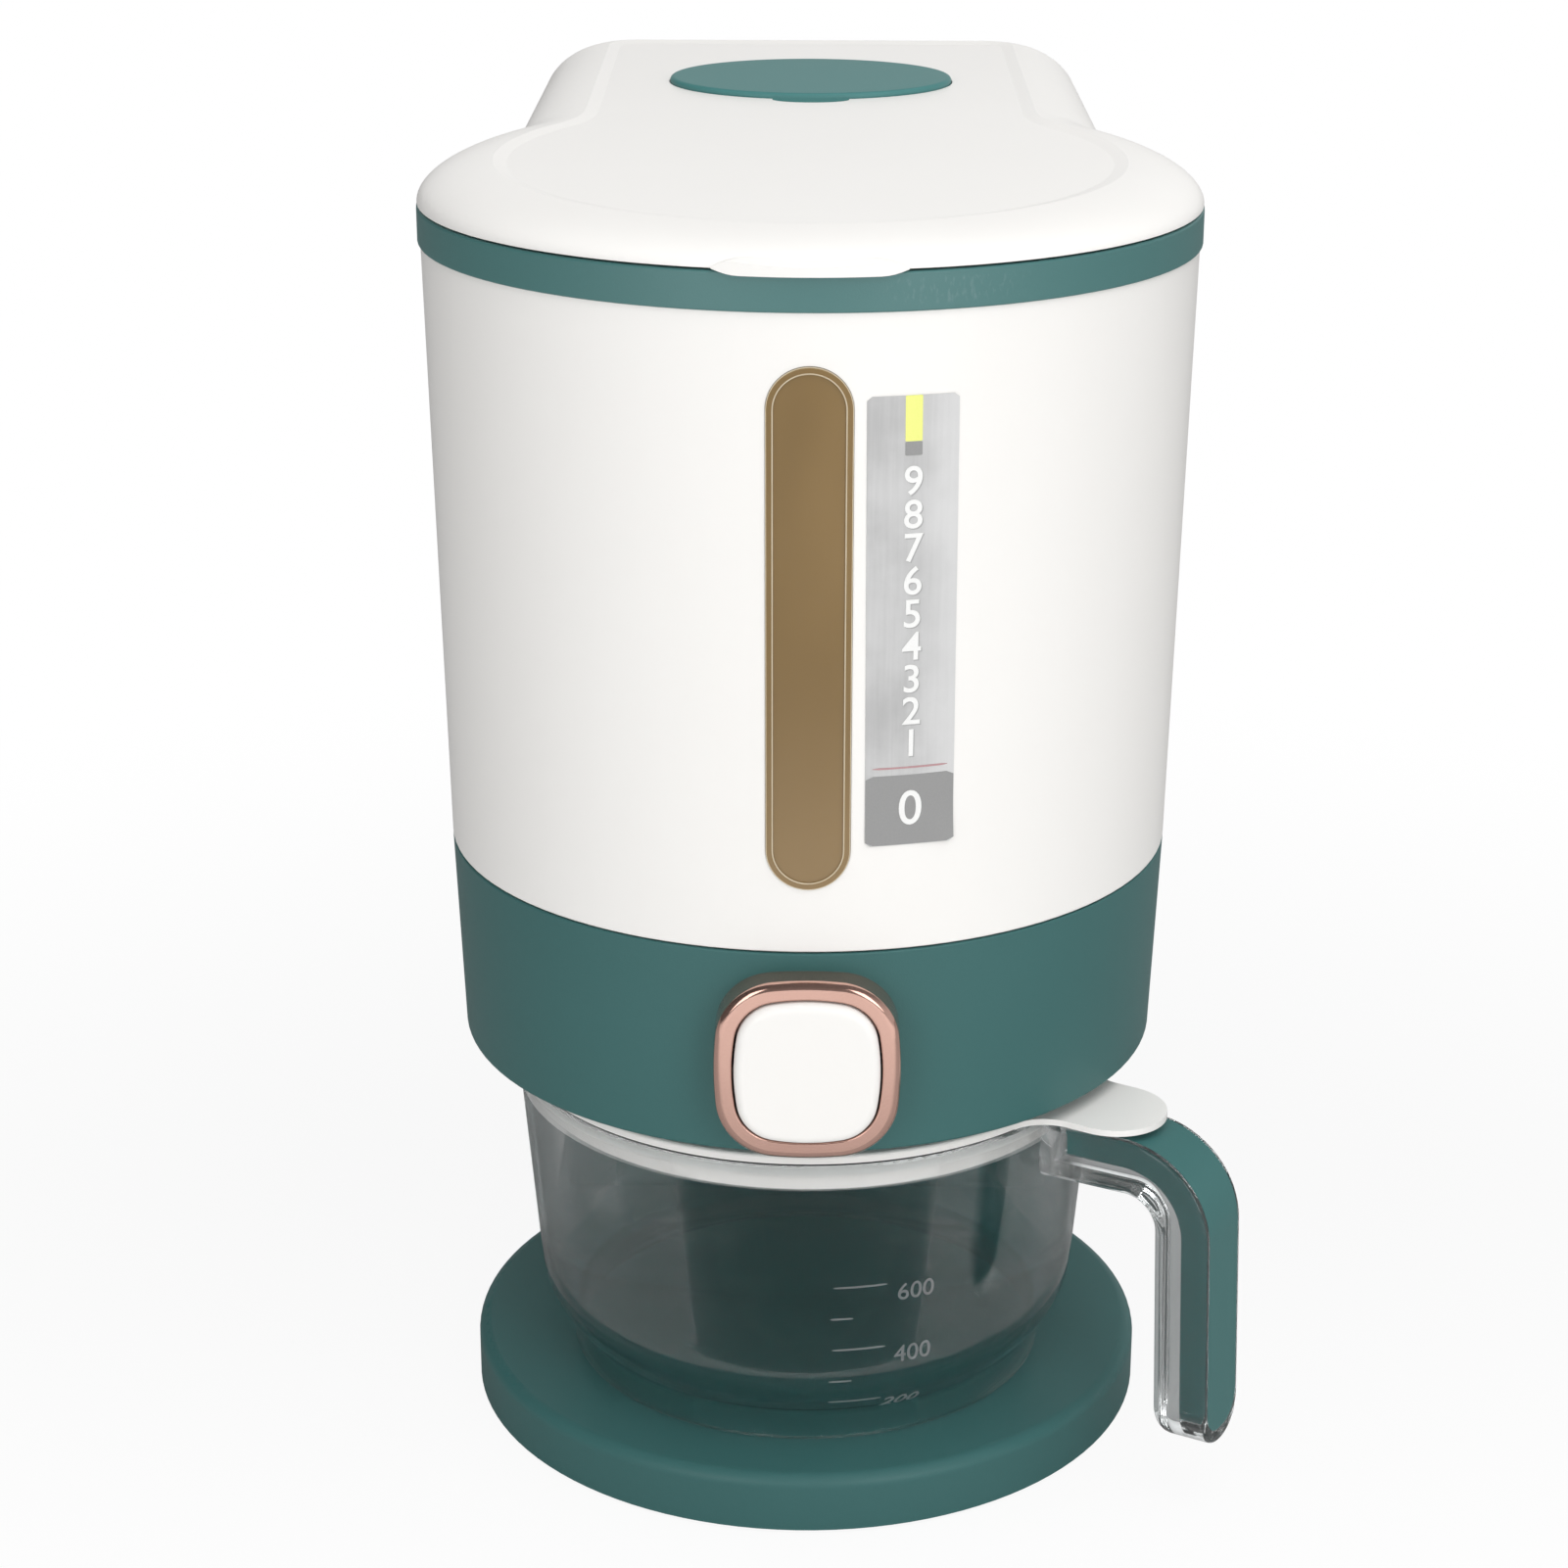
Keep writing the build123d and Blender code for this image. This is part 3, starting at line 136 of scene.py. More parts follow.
# %% [markdown]
# ## One start for every finish
# Each finish begins with an empty material and the coordinates of the piece itself, in metres.
# They ride along with the piece, so a grain does not swim when the lid opens. `close` puts the
# Principled shader at the end, and `wear` dresses solids in the finish.

# %% Start and end of a finish
def begin(name):
    """An empty material, and the coordinates of the piece that wears it."""
    material = bpy.data.materials.new(name)
    material.use_nodes = True
    material.node_tree.nodes.clear()
    start = Sock(material.node_tree)
    return material, start.node("ShaderNodeTexCoord", out="Object")


def close(material, **sockets):
    """Ends a finish with a Principled shader; underscores in the names stand for spaces."""
    start = Sock(material.node_tree)
    named = {name.replace("_", " "): value for name, value in sockets.items()}
    shader = start.node("ShaderNodeBsdfPrincipled", None, named)
    start.node("ShaderNodeOutputMaterial", None, {"Surface": shader})
    print("finish", material.name, "nodes", len(material.node_tree.nodes))
    return material


def wear(nodes, material):
    """Dresses CAD nodes in a finish."""
    for name in nodes:
        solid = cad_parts[name]
        solid.data.materials.clear()
        solid.data.materials.append(material)


def shade(tone, colour):
    """A colour made lighter or darker, with the fourth number that Blender asks for."""
    return (*(tone * part for part in colour), 1)


def even(tone):
    """A grey."""
    return (tone, tone, tone, 1)

# %% [markdown]
# ## The blue-green mouldings
# Base, column, housing, ring, cap and handle insert are moulded in one deep blue-green with a fine
# matte texture from the mould. One flat colour would look like paint, so a slow cloud shifts the
# tone a little, a grain of about half a millimetre roughens it, and the same grain feeds a very
# shallow bump. The pieces get lighter or darker copies of that colour, so the finish is a function
# that takes the tone of the moulding, and for the glossier ring a higher index. The ring's lighter
# tone is painted light, the column's darker tone is painted shade, and cap and handle insert are
# lighter.

# %% Blue-green plastic
BLUE_GREEN_DEEP, BLUE_GREEN_PALE = (0.032, 0.116, 0.113), (0.040, 0.132, 0.129)
GRAIN_DARK, GRAIN_LIGHT, GRAIN_SHARE = (0.72, 0.76, 0.76, 1), (1.22, 1.2, 1.2, 1), 0.22


def blue_green(name, tone, ior=1.46, scuffed=False):
    material, place = begin(name)
    cloud = place.noise(11.0, 3.0)
    grain = place.noise(2100.0, 2.0)
    colour = cloud.tint(shade(tone, BLUE_GREEN_DEEP), shade(tone, BLUE_GREEN_PALE))
    colour = place.node("ShaderNodeMix", {"data_type": "RGBA", "blend_type": "MULTIPLY"},
                        {0: GRAIN_SHARE, 6: colour, 7: grain.tint(GRAIN_DARK, GRAIN_LIGHT)}, 2)
    rough = 0.38 + 0.10 * grain + 0.05 * cloud
    if scuffed:
        colour, rough = add_scuffs(place, colour, rough)
    return close(material, Base_Color=colour, Roughness=rough, IOR=ior,
                 Normal=place.bump(grain, 0.00005))

print("blue-green from", BLUE_GREEN_DEEP, "to", BLUE_GREEN_PALE)

# %% [markdown]
# The ring has been rubbed by the finger that lifts the lid, a little to the right of the lip. Marks
# could be cut into the mesh, but they have no depth and only change the skin. So they are a mask of
# short broken strokes: a noise that is cut at a high level, inside a window of angle and height.

# %% Rub marks on the ring
RUB_ANGLES = (0.15, 0.24, 0.44, 0.56)
RUB_HEIGHTS = (0.3935, 0.3950, 0.4005, 0.4018)
RUBBED = (0.20, 0.30, 0.30, 1)


def add_scuffs(place, colour, rough):
    x, y, z = place.axes()
    angle = x.math("ARCTAN2", x, 0.0 - y)
    patch = angle.between(*RUB_ANGLES) * z.between(*RUB_HEIGHTS)
    strokes = place.upright(0.35).noise(900.0, 5.0).ramp(0.50, 0.72)
    marks = patch * strokes
    return (0.30 * marks).tint(colour, RUBBED), rough + 0.12 * marks


wear(["base_tray", "lower_housing"], blue_green("blue_green_plastic", 1.06))
# The column's darker tone is painted shade.
wear(["rear_column"], blue_green("blue_green_column_painted_shade", 0.90))
wear(["handle_grip"], blue_green("blue_green_grip", 1.20))
wear(["moisture_cap"], blue_green("blue_green_cap", 1.65))
# The ring's lighter tone is painted light.
wear(["top_ring"], blue_green("blue_green_ring_painted_light", 1.30, 1.75, scuffed=True))

# %% [markdown]
# ## The warm white mouldings
# Container, lid, button and cup cover are a warm white with a satin skin. The skin of a large
# moulding is never quite even: slow flow marks change the gloss, and a faint orange peel breaks up
# the reflections. Both are too shallow for geometry, so they are noise in the finish.

# %% Warm white plastic
WHITE_DEEP, WHITE_PALE = (0.845, 0.830, 0.805, 1), (0.875, 0.862, 0.840, 1)


def warm_white(name, satin):
    material, place = begin(name)
    flow = place.upright(0.25).noise(16.0, 3.0)
    peel = place.noise(420.0, 2.0)
    return close(material, Base_Color=flow.tint(WHITE_DEEP, WHITE_PALE),
                 Roughness=satin + 0.06 * flow + 0.05 * peel, IOR=1.49,
                 Normal=place.bump(peel, 0.00003))


wear(["container_shell", "button_cap", "cup_cover"], warm_white("warm_white_satin", 0.30))
wear(["lid"], warm_white("warm_white_lid", 0.32))

# %% [markdown]
# ## Clear plastic for the cup
# The cup is a clear moulding with thin walls and a solid handle. Seen square on, a thin wall hardly
# bends the light, and towards its edges it bends more and more. So the shader is a refracting
# plastic that lets a share of the light straight through, a large one square on and a small one at
# a glance. The handle and the rounded rim are thick and always refract. Handling leaves a thin
# haze, which is only a small change of roughness.

# %% Clear plastic
HANDLE_FROM_X, RIM_FROM_Z = (0.078, 0.092), (0.1215, 0.1225)
THICK_SHARE, GLANCE_SHARE = 0.92, 0.85


def clear_plastic(name, tint, haze, solidity, clarity=1.0):
    material, place = begin(name)
    smear = place.upright(0.5).noise(60.0, 4.0).ramp(0.45, 0.75)
    x, _, z = place.axes()
    thick = THICK_SHARE * (x.ramp(*HANDLE_FROM_X) + z.ramp(*RIM_FROM_Z))
    glance = place.node("ShaderNodeLayerWeight", None, {"Blend": 0.5}, "Facing")
    solid = glance.ramp(0.30, 0.97, solidity, GLANCE_SHARE).larger(thick)
    return close(material, Base_Color=smear.tint(shade(1.0, tint), shade(0.97, tint)),
                 Roughness=haze + 0.02 * smear, IOR=1.49, Transmission_Weight=clarity, Alpha=solid)


wear(["measuring_cup"], clear_plastic("cup_clear", (0.92, 0.95, 0.955), 0.0, 0.25))

# %% [markdown]
# ## The brown window
# The level window is a strip of brown transparent plastic. Pure glass would show only the dark of
# the container behind it. So most of the light comes back from the brown body itself, and a quarter
# passes through, and the strip reads as olive brown, with a painted light that makes it paler at
# its foot.

# %% Brown window plastic
BROWN_DEEP, BROWN_PALE = (0.225, 0.136, 0.040, 1), (0.288, 0.179, 0.060, 1)
BROWN_PAINTED_LIGHT, PAINTED_LIGHT_HEIGHTS = (0.355, 0.240, 0.115, 1), (0.215, 0.300)


def brown_window(name):
    material, place = begin(name)
    drift = place.upright(0.4).noise(22.0, 2.0)
    height = place.axes()[2]
    # A painted light makes the pane paler towards its foot.
    foot = 0.8 * (1.0 - height.ramp(*PAINTED_LIGHT_HEIGHTS))
    colour = foot.tint(drift.ramp(0.30, 0.70).tint(BROWN_DEEP, BROWN_PALE), BROWN_PAINTED_LIGHT)
    return close(material, Base_Color=colour, Roughness=0.07 + 0.05 * drift, IOR=1.5,
                 Transmission_Weight=0.25)


wear(["level_window"], brown_window("brown_window_plastic"))

# %% [markdown]
# ## Rose gold
# The bezel is plastic with a metallised skin. It could be a plain metal, but the skin is thin and
# satin. So it is nearly all metal, with a low roughness that a fine grain lifts a little, and a
# slow cloud in its tone.

# %% Rose-gold plating
ROSE_DEEP, ROSE_PALE = (0.70, 0.43, 0.355, 1), (0.76, 0.48, 0.40, 1)


def rose_gold(name):
    material, place = begin(name)
    grain = place.noise(1500.0, 3.0)
    cloud = place.noise(40.0, 2.0)
    return close(material, Base_Color=cloud.tint(ROSE_DEEP, ROSE_PALE), Metallic=0.92,
                 Roughness=0.09 + 0.07 * grain, Normal=place.bump(grain, 0.00001))


wear(["button_bezel"], rose_gold("rose_gold_plating"))

# %% [markdown]
# ## Pieces that are seldom seen
# Under the base, inside the container and at the hinge there are a matte dark cover, natural white
# working parts, black rubber pads, a milky seal and plated steel. They are seen when the lid opens
# or from below. They differ only in two tones, gloss and grain, so one function makes them all.

# %% Hidden finishes
def plain_moulding(name, dark, pale, rough, grain_size, relief, **more):
    material, place = begin(name)
    grain = place.noise(grain_size, 3.0)
    cloud = place.noise(25.0, 2.0)
    colour = (0.6 * cloud + 0.4 * grain).tint(dark, pale)
    return close(material, Base_Color=colour, Roughness=rough + 0.12 * grain,
                 Normal=place.bump(grain, relief), **more)


wear(["base_cover"],
     plain_moulding("dark_cover", (0.020, 0.022, 0.022, 1), (0.032, 0.034, 0.034, 1),
                    0.5, 900.0, 0.00008))
wear(["hopper", "gate_guide", "shutter_gate", "desiccant_basket"],
     plain_moulding("natural_white", (0.62, 0.60, 0.55, 1), (0.70, 0.68, 0.63, 1),
                    0.42, 700.0, 0.00004))
wear(["base_feet"],
     plain_moulding("foot_rubber", even(0.008), even(0.018), 0.7, 1400.0, 0.00010))
wear(["lid_gasket"],
     plain_moulding("milky_seal", (0.55, 0.55, 0.53, 1), (0.64, 0.64, 0.62, 1),
                    0.45, 500.0, 0.00002, Transmission_Weight=0.2))
plated_steel = plain_moulding("plated_steel", (0.42, 0.43, 0.44, 1), (0.56, 0.57, 0.58, 1),
                              0.24, 2600.0, 0.00001, Metallic=1.0)
wear(["base_screws", "column_screws", "hopper_screws", "hinge_pins", "return_spring"], plated_steel)

# %% [markdown]
# ## Things that lie on a curved wall
# The scale and its numbers follow the cone of the container, and the measure marks follow the bowl
# of the cup. A modifier could bend them, but then each would need its own settings. Here all of
# them are drawn flat, as (along, up) in metres, and then laid on a wall that knows its radius at
# each height. That keeps the drawing simple and makes every piece sit on the surface.

# %% Two walls
class Wall:
    """A round wall seen from the front: an axis at y, and a radius for each height."""

    def __init__(self, axis_y, radius):
        self.axis_y, self.radius = axis_y, radius

    def point(self, angle, height, out):
        """The point at this angle to the right of the front, this far outside the wall."""
        reach = self.radius(height) + out
        return Vector((reach * math.sin(angle), self.axis_y - reach * math.cos(angle), height))


CONTAINER_FOOT, CONTAINER_FOOT_RADIUS = 0.200, 0.1158
CONTAINER_RISE, CONTAINER_FLARE = 0.192, 0.0038
CUP_AXIS_Y, CUP_BEND_TOP, CUP_BEND = -0.011, 0.055, 0.031
CUP_BEND_RADIUS, CUP_WALL_RADIUS = 0.0588, 0.0898
CUP_RISE, CUP_FLARE = 0.0707, 0.0060


def container_radius(height):
    return CONTAINER_FOOT_RADIUS + (height - CONTAINER_FOOT) * CONTAINER_FLARE / CONTAINER_RISE


def cup_radius(height):
    above = height - CUP_BEND_TOP
    if above > 0:
        return CUP_WALL_RADIUS + above * CUP_FLARE / CUP_RISE
    return CUP_BEND_RADIUS + math.sqrt(max(0.0, CUP_BEND ** 2 - above ** 2))


container = Wall(0.0, container_radius)
cup = Wall(CUP_AXIS_Y, cup_radius)
print("radius of container", round(container_radius(0.3), 4), "cup", round(cup_radius(0.08), 4))

# %% [markdown]
# A film is a thin sheet with rounded corners. It is cut into upright columns, so that it bends
# round the wall, and each column ends where the rounded corner ends. The lift says how far it
# stands off at each place, as one number or as a function of the place.

# %% A thin sheet on a wall
def new_piece(name, points, faces, material, body):
    """A mesh that rides on a body, or on none when no body is given."""
    mesh = bpy.data.meshes.new(name)
    mesh.from_pydata(points, [], faces)
    mesh.materials.append(material)
    mesh.update()
    piece = bpy.data.objects.new(name, mesh)
    bpy.context.scene.collection.objects.link(piece)
    if body:
        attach(piece, body)
    return piece


def film(name, wall, angle, centre, size, corner, lift, material, body,
         thick=0.00008, tilt=0.0, columns=18, rows=24):
    width, height = size
    layers = []
    for level in (0.0, thick):
        layer = []
        for i in range(columns + 1):
            along = width * (i / columns - 0.5)
            over = max(0.0, abs(along) - (width / 2 - corner))
            half = height / 2 - corner + math.sqrt(max(0.0, corner ** 2 - over ** 2))
            for j in range(rows + 1):
                up = half * (2 * j / rows - 1)
                out = level + (lift(along, up) if callable(lift) else lift)
                turned = (along + up * tilt) / wall.radius(centre + up)
                layer.append(wall.point(angle + turned, centre + up, out))
        layers.append(layer)
    count, step = len(layers[0]), rows + 1
    quads = [(i * step + j, (i + 1) * step + j, (i + 1) * step + j + 1, i * step + j + 1)
             for i in range(columns) for j in range(rows)]
    rim = ([i * step for i in range(columns + 1)]
           + [columns * step + j for j in range(1, step)]
           + [i * step + rows for i in range(columns - 1, -1, -1)]
           + [j for j in range(rows - 1, 0, -1)])
    faces = [tuple(count + v for v in quad) for quad in quads] + [quad[::-1] for quad in quads]
    faces += [(a, b, count + b, count + a) for a, b in zip(rim, rim[1:] + rim[:1])]
    return new_piece(name, layers[0] + layers[1], faces, material, body)

print("film maker ready")

# %% [markdown]
# ## The edge of the window
# The border of the window is polished, and its two rounded edges catch the light as fine pale
# lines. A rounded edge of that size is too small to show at this distance, so a thin bead lies on
# each edge, in a pale colour that is a painted highlight. It is a closed curve with a round
# section, laid on the wall and turned into a mesh.

# %% Round wire
def frozen(name, curve):
    """The mesh of a curve or text, whose carrier is thrown away."""
    carrier = bpy.data.objects.new(name, curve)
    bpy.context.scene.collection.objects.link(carrier)
    bpy.context.view_layer.update()
    drawn = carrier.evaluated_get(bpy.context.evaluated_depsgraph_get())
    mesh = bpy.data.meshes.new_from_object(drawn)
    bpy.data.objects.remove(carrier)
    return mesh


def round_wire(name, path, radius, closed, material, body):
    """A wire of round section along a path."""
    curve = bpy.data.curves.new(name, "CURVE")
    curve.dimensions, curve.bevel_depth, curve.bevel_resolution = "3D", radius, 2
    curve.use_fill_caps = True
    line = curve.splines.new("POLY")
    line.points.add(len(path) - 1)
    line.use_cyclic_u = closed
    for knot, place in zip(line.points, path):
        knot.co = (*place, 1)
    tube = frozen(name, curve)
    points = [v.co.copy() for v in tube.vertices]
    faces = [tuple(p.vertices) for p in tube.polygons]
    bpy.data.meshes.remove(tube)
    print(name, len(path), "knots", len(faces), "faces")
    return new_piece(name, points, faces, material, body)

print("wire maker ready")

# %% Beads of painted highlight on the window
PANE_HALF_WIDTH, PANE_LOW, PANE_HIGH, PANE_BORDER = 0.0104, 0.2226, 0.3750, 0.0018
EDGE_HIGHLIGHT_DEEP, EDGE_HIGHLIGHT_PALE = (0.50, 0.41, 0.27, 1), (0.66, 0.57, 0.42, 1)


def highlight_bead(name, border, out, radius, material):
    half_width = PANE_HALF_WIDTH + border
    low, high = PANE_LOW - border, PANE_HIGH + border
    path = []
    for centre, start in ((high - half_width, 0), (low + half_width, 180)):
        for turn in range(0, 181, 6):
            bow = math.radians(start + turn)
            along, height = half_width * math.cos(bow), centre + half_width * math.sin(bow)
            path.append(container.point(along / container_radius(height), height, out))
    return round_wire(name, path, radius, True, material, "body")


def painted_highlight_edge(name):
    material, place = begin(name)
    drift = place.noise(120.0, 3.0)
    # The pale colour is a painted highlight on the rounded edges.
    return close(material, Base_Color=drift.tint(EDGE_HIGHLIGHT_DEEP, EDGE_HIGHLIGHT_PALE),
                 Roughness=0.12 + 0.1 * drift, IOR=1.5)


window_highlight = painted_highlight_edge("window_edge_painted_highlight")
highlight_bead("window_highlight_bead_inner", 0.0, 0.00040, 0.00022, window_highlight)
highlight_bead("window_highlight_bead_outer", PANE_BORDER, 0.00036, 0.00018, window_highlight)

# %% [markdown]
# ## The return spring
# Behind the button a coil spring leans on a post. The solid from the CAD is rigid and would run
# into the post when the button goes in. So the same coil is wound again as a wire that rides on no
# body, and the rigid solid is hidden.

# %% A coil between button and post
def coil_spring(name, node, wire, turns, steps, material):
    low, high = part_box(node)
    ring, middle = (high[0] - low[0] - wire) / 2, (low[2] + high[2]) / 2
    path = []
    for step in range(turns * steps + 1):
        bow = 2 * math.pi * step / steps
        along = low[1] + wire / 2 + (high[1] - low[1] - wire) * step / (turns * steps)
        path.append((ring * math.cos(bow), along, middle + ring * math.sin(bow)))
    coil = round_wire(name, path, wire / 2, False, material, None)
    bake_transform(coil)
    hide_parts(node)


coil_spring("coil_spring", "return_spring", 0.0012, 5, 24, plated_steel)

# %% [markdown]
# ## The scale film
# The film is silvery with a brushed look: long upright streaks in its gloss, soft clouds in its
# tone, partly smudges and partly a painted sheen where it lies unevenly, and a painted light that
# makes the side to the right paler, where it turns to the light. A picture could hold all that, but
# noise stays sharp from near by. The prints on it are plain inks with a fine speck.

# %% Film and print finishes
SILVER_DEEP, SILVER_PALE, SILVER_PAINTED_LIGHT = even(0.41), even(0.62), even(0.74)
PAINTED_LIGHT_SIDE = (0.027, 0.043)


def silver_film(name):
    material, place = begin(name)
    streak = place.upright(0.03).noise(900.0, 2.0)
    cloud = place.noise(48.0, 5.0).ramp(0.30, 0.70)
    across = place.axes()[0]
    # The cloud in the tone is partly smudges and partly painted sheen.
    colour = (0.5 * streak + 0.5 * cloud).tint(SILVER_DEEP, SILVER_PALE)
    # A painted light makes the right side of the film paler.
    colour = across.ramp(*PAINTED_LIGHT_SIDE, 0.0, 0.6).tint(colour, SILVER_PAINTED_LIGHT)
    return close(material, Base_Color=colour, Metallic=0.25, Roughness=0.30 + 0.12 * streak,
                 Normal=place.bump(cloud, 0.0002), Coat_Weight=0.3, Coat_Roughness=0.15)


def print_ink(name, dark, pale):
    material, place = begin(name)
    speck = place.noise(2600.0, 2.0)
    return close(material, Base_Color=speck.tint(dark, pale), Roughness=0.34 + 0.1 * speck)


silver = silver_film("silver_film")
lime = print_ink("lime_ink", (0.79, 0.82, 0.20, 1), (0.85, 0.87, 0.27, 1))
grey = print_ink("grey_ink", even(0.262), (0.305, 0.305, 0.302, 1))
soft_grey = print_ink("soft_grey_ink", even(0.36), even(0.40))
pink = print_ink("dusty_pink_ink", (0.42, 0.24, 0.25, 1), (0.50, 0.30, 0.31, 1))
white_ink = print_ink("white_ink", (0.80, 0.80, 0.79, 1), (0.87, 0.87, 0.86, 1))

# %% [markdown]
# On the film are printed a lime bar, a small grey mark, a rule and a grey foot. Each print is its
# own thin sheet, a hair above the film, so that its edges stay sharp. The film stands a little
# askew, and its lower right corner has come loose, as stickers do.

# %% Film and printed blocks
SCALE_ANGLE, SCALE_CENTRE, SCALE_TILT = math.radians(14.45), 0.3010, -0.0095
SCALE_SIZE, SCALE_CORNER = (0.0268, 0.1345), 0.0012
LOOSE_ALONG, LOOSE_UP, LOOSE_REACH, LOOSE_LIFT = 0.0134, -0.0672, 0.016, 0.0009
GLUE, PRINT_LIFT, INK = 0.00006, 0.00012, 0.00002
FOOT_HEIGHT = 0.2447


def loose_corner(along, up):
    near = max(0.0, 1.0 - math.hypot(along - LOOSE_ALONG, up - LOOSE_UP) / LOOSE_REACH)
    return GLUE + LOOSE_LIFT * near ** 2


def on_scale(name, height, size, material, corner=0.0002):
    above = height - SCALE_CENTRE
    return film(name, container, SCALE_ANGLE + above * SCALE_TILT / container_radius(height),
                height, size, corner, lambda a, u: loose_corner(a, above + u) + PRINT_LIFT,
                material, "body", INK, SCALE_TILT, 12, 12)


film("level_scale", container, SCALE_ANGLE, SCALE_CENTRE, SCALE_SIZE, SCALE_CORNER, loose_corner,
     silver, "body", tilt=SCALE_TILT)
on_scale("scale_lime_bar", 0.3617, (0.0050, 0.0132), lime)
on_scale("scale_grey_mark", 0.3530, (0.0050, 0.0040), grey)
on_scale("scale_rule", 0.2578, (0.0226, 0.0006), pink)
on_scale("scale_grey_foot", FOOT_HEIGHT, (0.0266, 0.0216), grey, 0.0010)

# %% [markdown]
# ## Numbers
# The scale counts down from nine, in white with a soft grey shade, and ends with a nought on the
# foot. Drawing digits by hand would be slow, and the built-in typeface gives clean outlines. So a
# number starts as a text curve. It is turned into a mesh at once and bent onto the wall, because a
# piece must be geometry that can ride on a body.

# %% Numbers bent onto a wall
def numbers(name, entries, wall, out, thick, weight, material, body):
    """All numbers of one ink as one piece; an entry is (text, angle, height, size)."""
    points, faces = [], []
    for text, angle, height, size in entries:
        curve = bpy.data.curves.new(name, "FONT")
        curve.body, curve.size, curve.offset = text, size, weight
        curve.align_x, curve.align_y = "CENTER", "CENTER"
        curve.extrude, curve.resolution_u = thick / 2, 6
        flat = frozen(name, curve)
        first = len(points)
        for x, y, z in (v.co for v in flat.vertices):
            turned = angle + x / wall.radius(height + y)
            points.append(wall.point(turned, height + y, out + thick / 2 + z))
        faces += [tuple(first + v for v in p.vertices) for p in flat.polygons]
        bpy.data.meshes.remove(flat)
    return new_piece(name, points, faces, material, body)

print("number maker ready")

# %% Numbers on the scale
DIGITS, TOP_DIGIT, DIGIT_STEP, DIGIT_SIZE = 9, 0.3433, 0.0098, 0.0118
NOUGHT_SIZE, NOUGHT_TURN = 0.0150, 0.0046
SCALE_RADIUS, SHADE_SHIFT, BOLDER = 0.118, 0.00035, 0.00012

column = []
for step in range(DIGITS):
    height = TOP_DIGIT - DIGIT_STEP * step
    angle = SCALE_ANGLE + (height - SCALE_CENTRE) * SCALE_TILT / SCALE_RADIUS
    column.append((str(DIGITS - step), angle, height, DIGIT_SIZE))
shades = [(text, angle + SHADE_SHIFT / SCALE_RADIUS, height - SHADE_SHIFT, size)
          for text, angle, height, size in column]
column.append(("0", SCALE_ANGLE + NOUGHT_TURN, FOOT_HEIGHT, NOUGHT_SIZE))
numbers("scale_number_shades", shades, container, 0.00022, 0.00002, BOLDER,
        soft_grey, "body")
numbers("scale_numbers", column, container, 0.00026, 0.00003, BOLDER,
        white_ink, "body")
print("numbers on the scale", len(column))

# %% [markdown]
# ## Measure marks on the cup
# The marks are raised on the wall of the cup, in one piece with it. They could be cut from the
# cup's own mesh, but that is CAD and stays as it is. So they are thin sheets on the bowl, of the
# same plastic, a little greyer and frosted, so that they show. Long lines have a number beside
# them, short lines stand half way between.

# %% Lines and numbers on the cup
MEASURES = (("600", 0.0820), ("400", 0.0590), ("200", 0.0370))
HALF_MEASURES = (0.0705, 0.0470)
LONG_LINE, SHORT_LINE, LINE_CORNER = (0.0170, 0.0006), (0.0072, 0.0006), 0.0002
LONG_ANGLE, SHORT_ANGLE, NUMBER_ANGLE = (math.radians(turn) for turn in (10.6, 7.0, 22.0))
MARK_LIFT, MARK_RELIEF, NUMBER_DROP, NUMBER_SIZE = 0.00003, 0.00025, 0.004, 0.0085

mark_clear = clear_plastic("mark_clear", (0.46, 0.49, 0.50), 0.30, 0.40, 0.5)
for text, height in MEASURES:
    film(f"cup_line_{text}", cup, LONG_ANGLE, height, LONG_LINE, LINE_CORNER, MARK_LIFT,
         mark_clear, "cup", MARK_RELIEF, 0.0, 10, 2)
for height in HALF_MEASURES:
    film(f"cup_short_line_{round(height * 1e4)}", cup, SHORT_ANGLE, height, SHORT_LINE, LINE_CORNER,
         MARK_LIFT, mark_clear, "cup", MARK_RELIEF, 0.0, 6, 2)
beside = [(text, NUMBER_ANGLE, height - NUMBER_DROP, NUMBER_SIZE) for text, height in MEASURES]
numbers("cup_numbers", beside, cup, MARK_LIFT, MARK_RELIEF, 0.0, mark_clear, "cup")

# %% [markdown]
# ## The groove under the cover
# The flange of the white cover does not touch the rim of the cup. The narrow groove between them is
# always in the shade and shows as a dark line round the cup. The clear rim would let light into it,
# so a thin dark band of painted shade, a little behind the rim, closes the groove.

# %% Dark band of painted shade in the groove
GROOVE_RADIUS, GROOVE_LOW, GROOVE_HIGH, BAND_THICK = 0.0952, 0.12585, 0.12675, 0.0002


def ring_band(name, axis_y, radius, low, high, thick, material, body, sides=96):
    points, faces = [], []
    section = ((radius, low), (radius, high), (radius - thick, high), (radius - thick, low))
    for side in range(sides):
        angle = 2 * math.pi * side / sides
        for reach, height in section:
            points.append((reach * math.sin(angle), axis_y - reach * math.cos(angle), height))
        first, after = 4 * side, 4 * ((side + 1) % sides)
        for a, b in ((0, 1), (1, 2), (2, 3), (3, 0)):
            faces.append((first + a, after + a, after + b, first + b))
    return new_piece(name, points, faces, material, body)


groove_painted_shade = plain_moulding("groove_painted_shade", (0.020, 0.021, 0.021, 1), (0.035, 0.036, 0.036, 1),
                              0.7, 900.0, 0.00002)
# The dark band is painted shade in the groove.
ring_band("cover_groove_painted_shade", CUP_AXIS_Y, GROOVE_RADIUS, GROOVE_LOW, GROOVE_HIGH, BAND_THICK,
          groove_painted_shade, "cup_cover")
print("groove closed from", GROOVE_LOW, "to", GROOVE_HIGH)

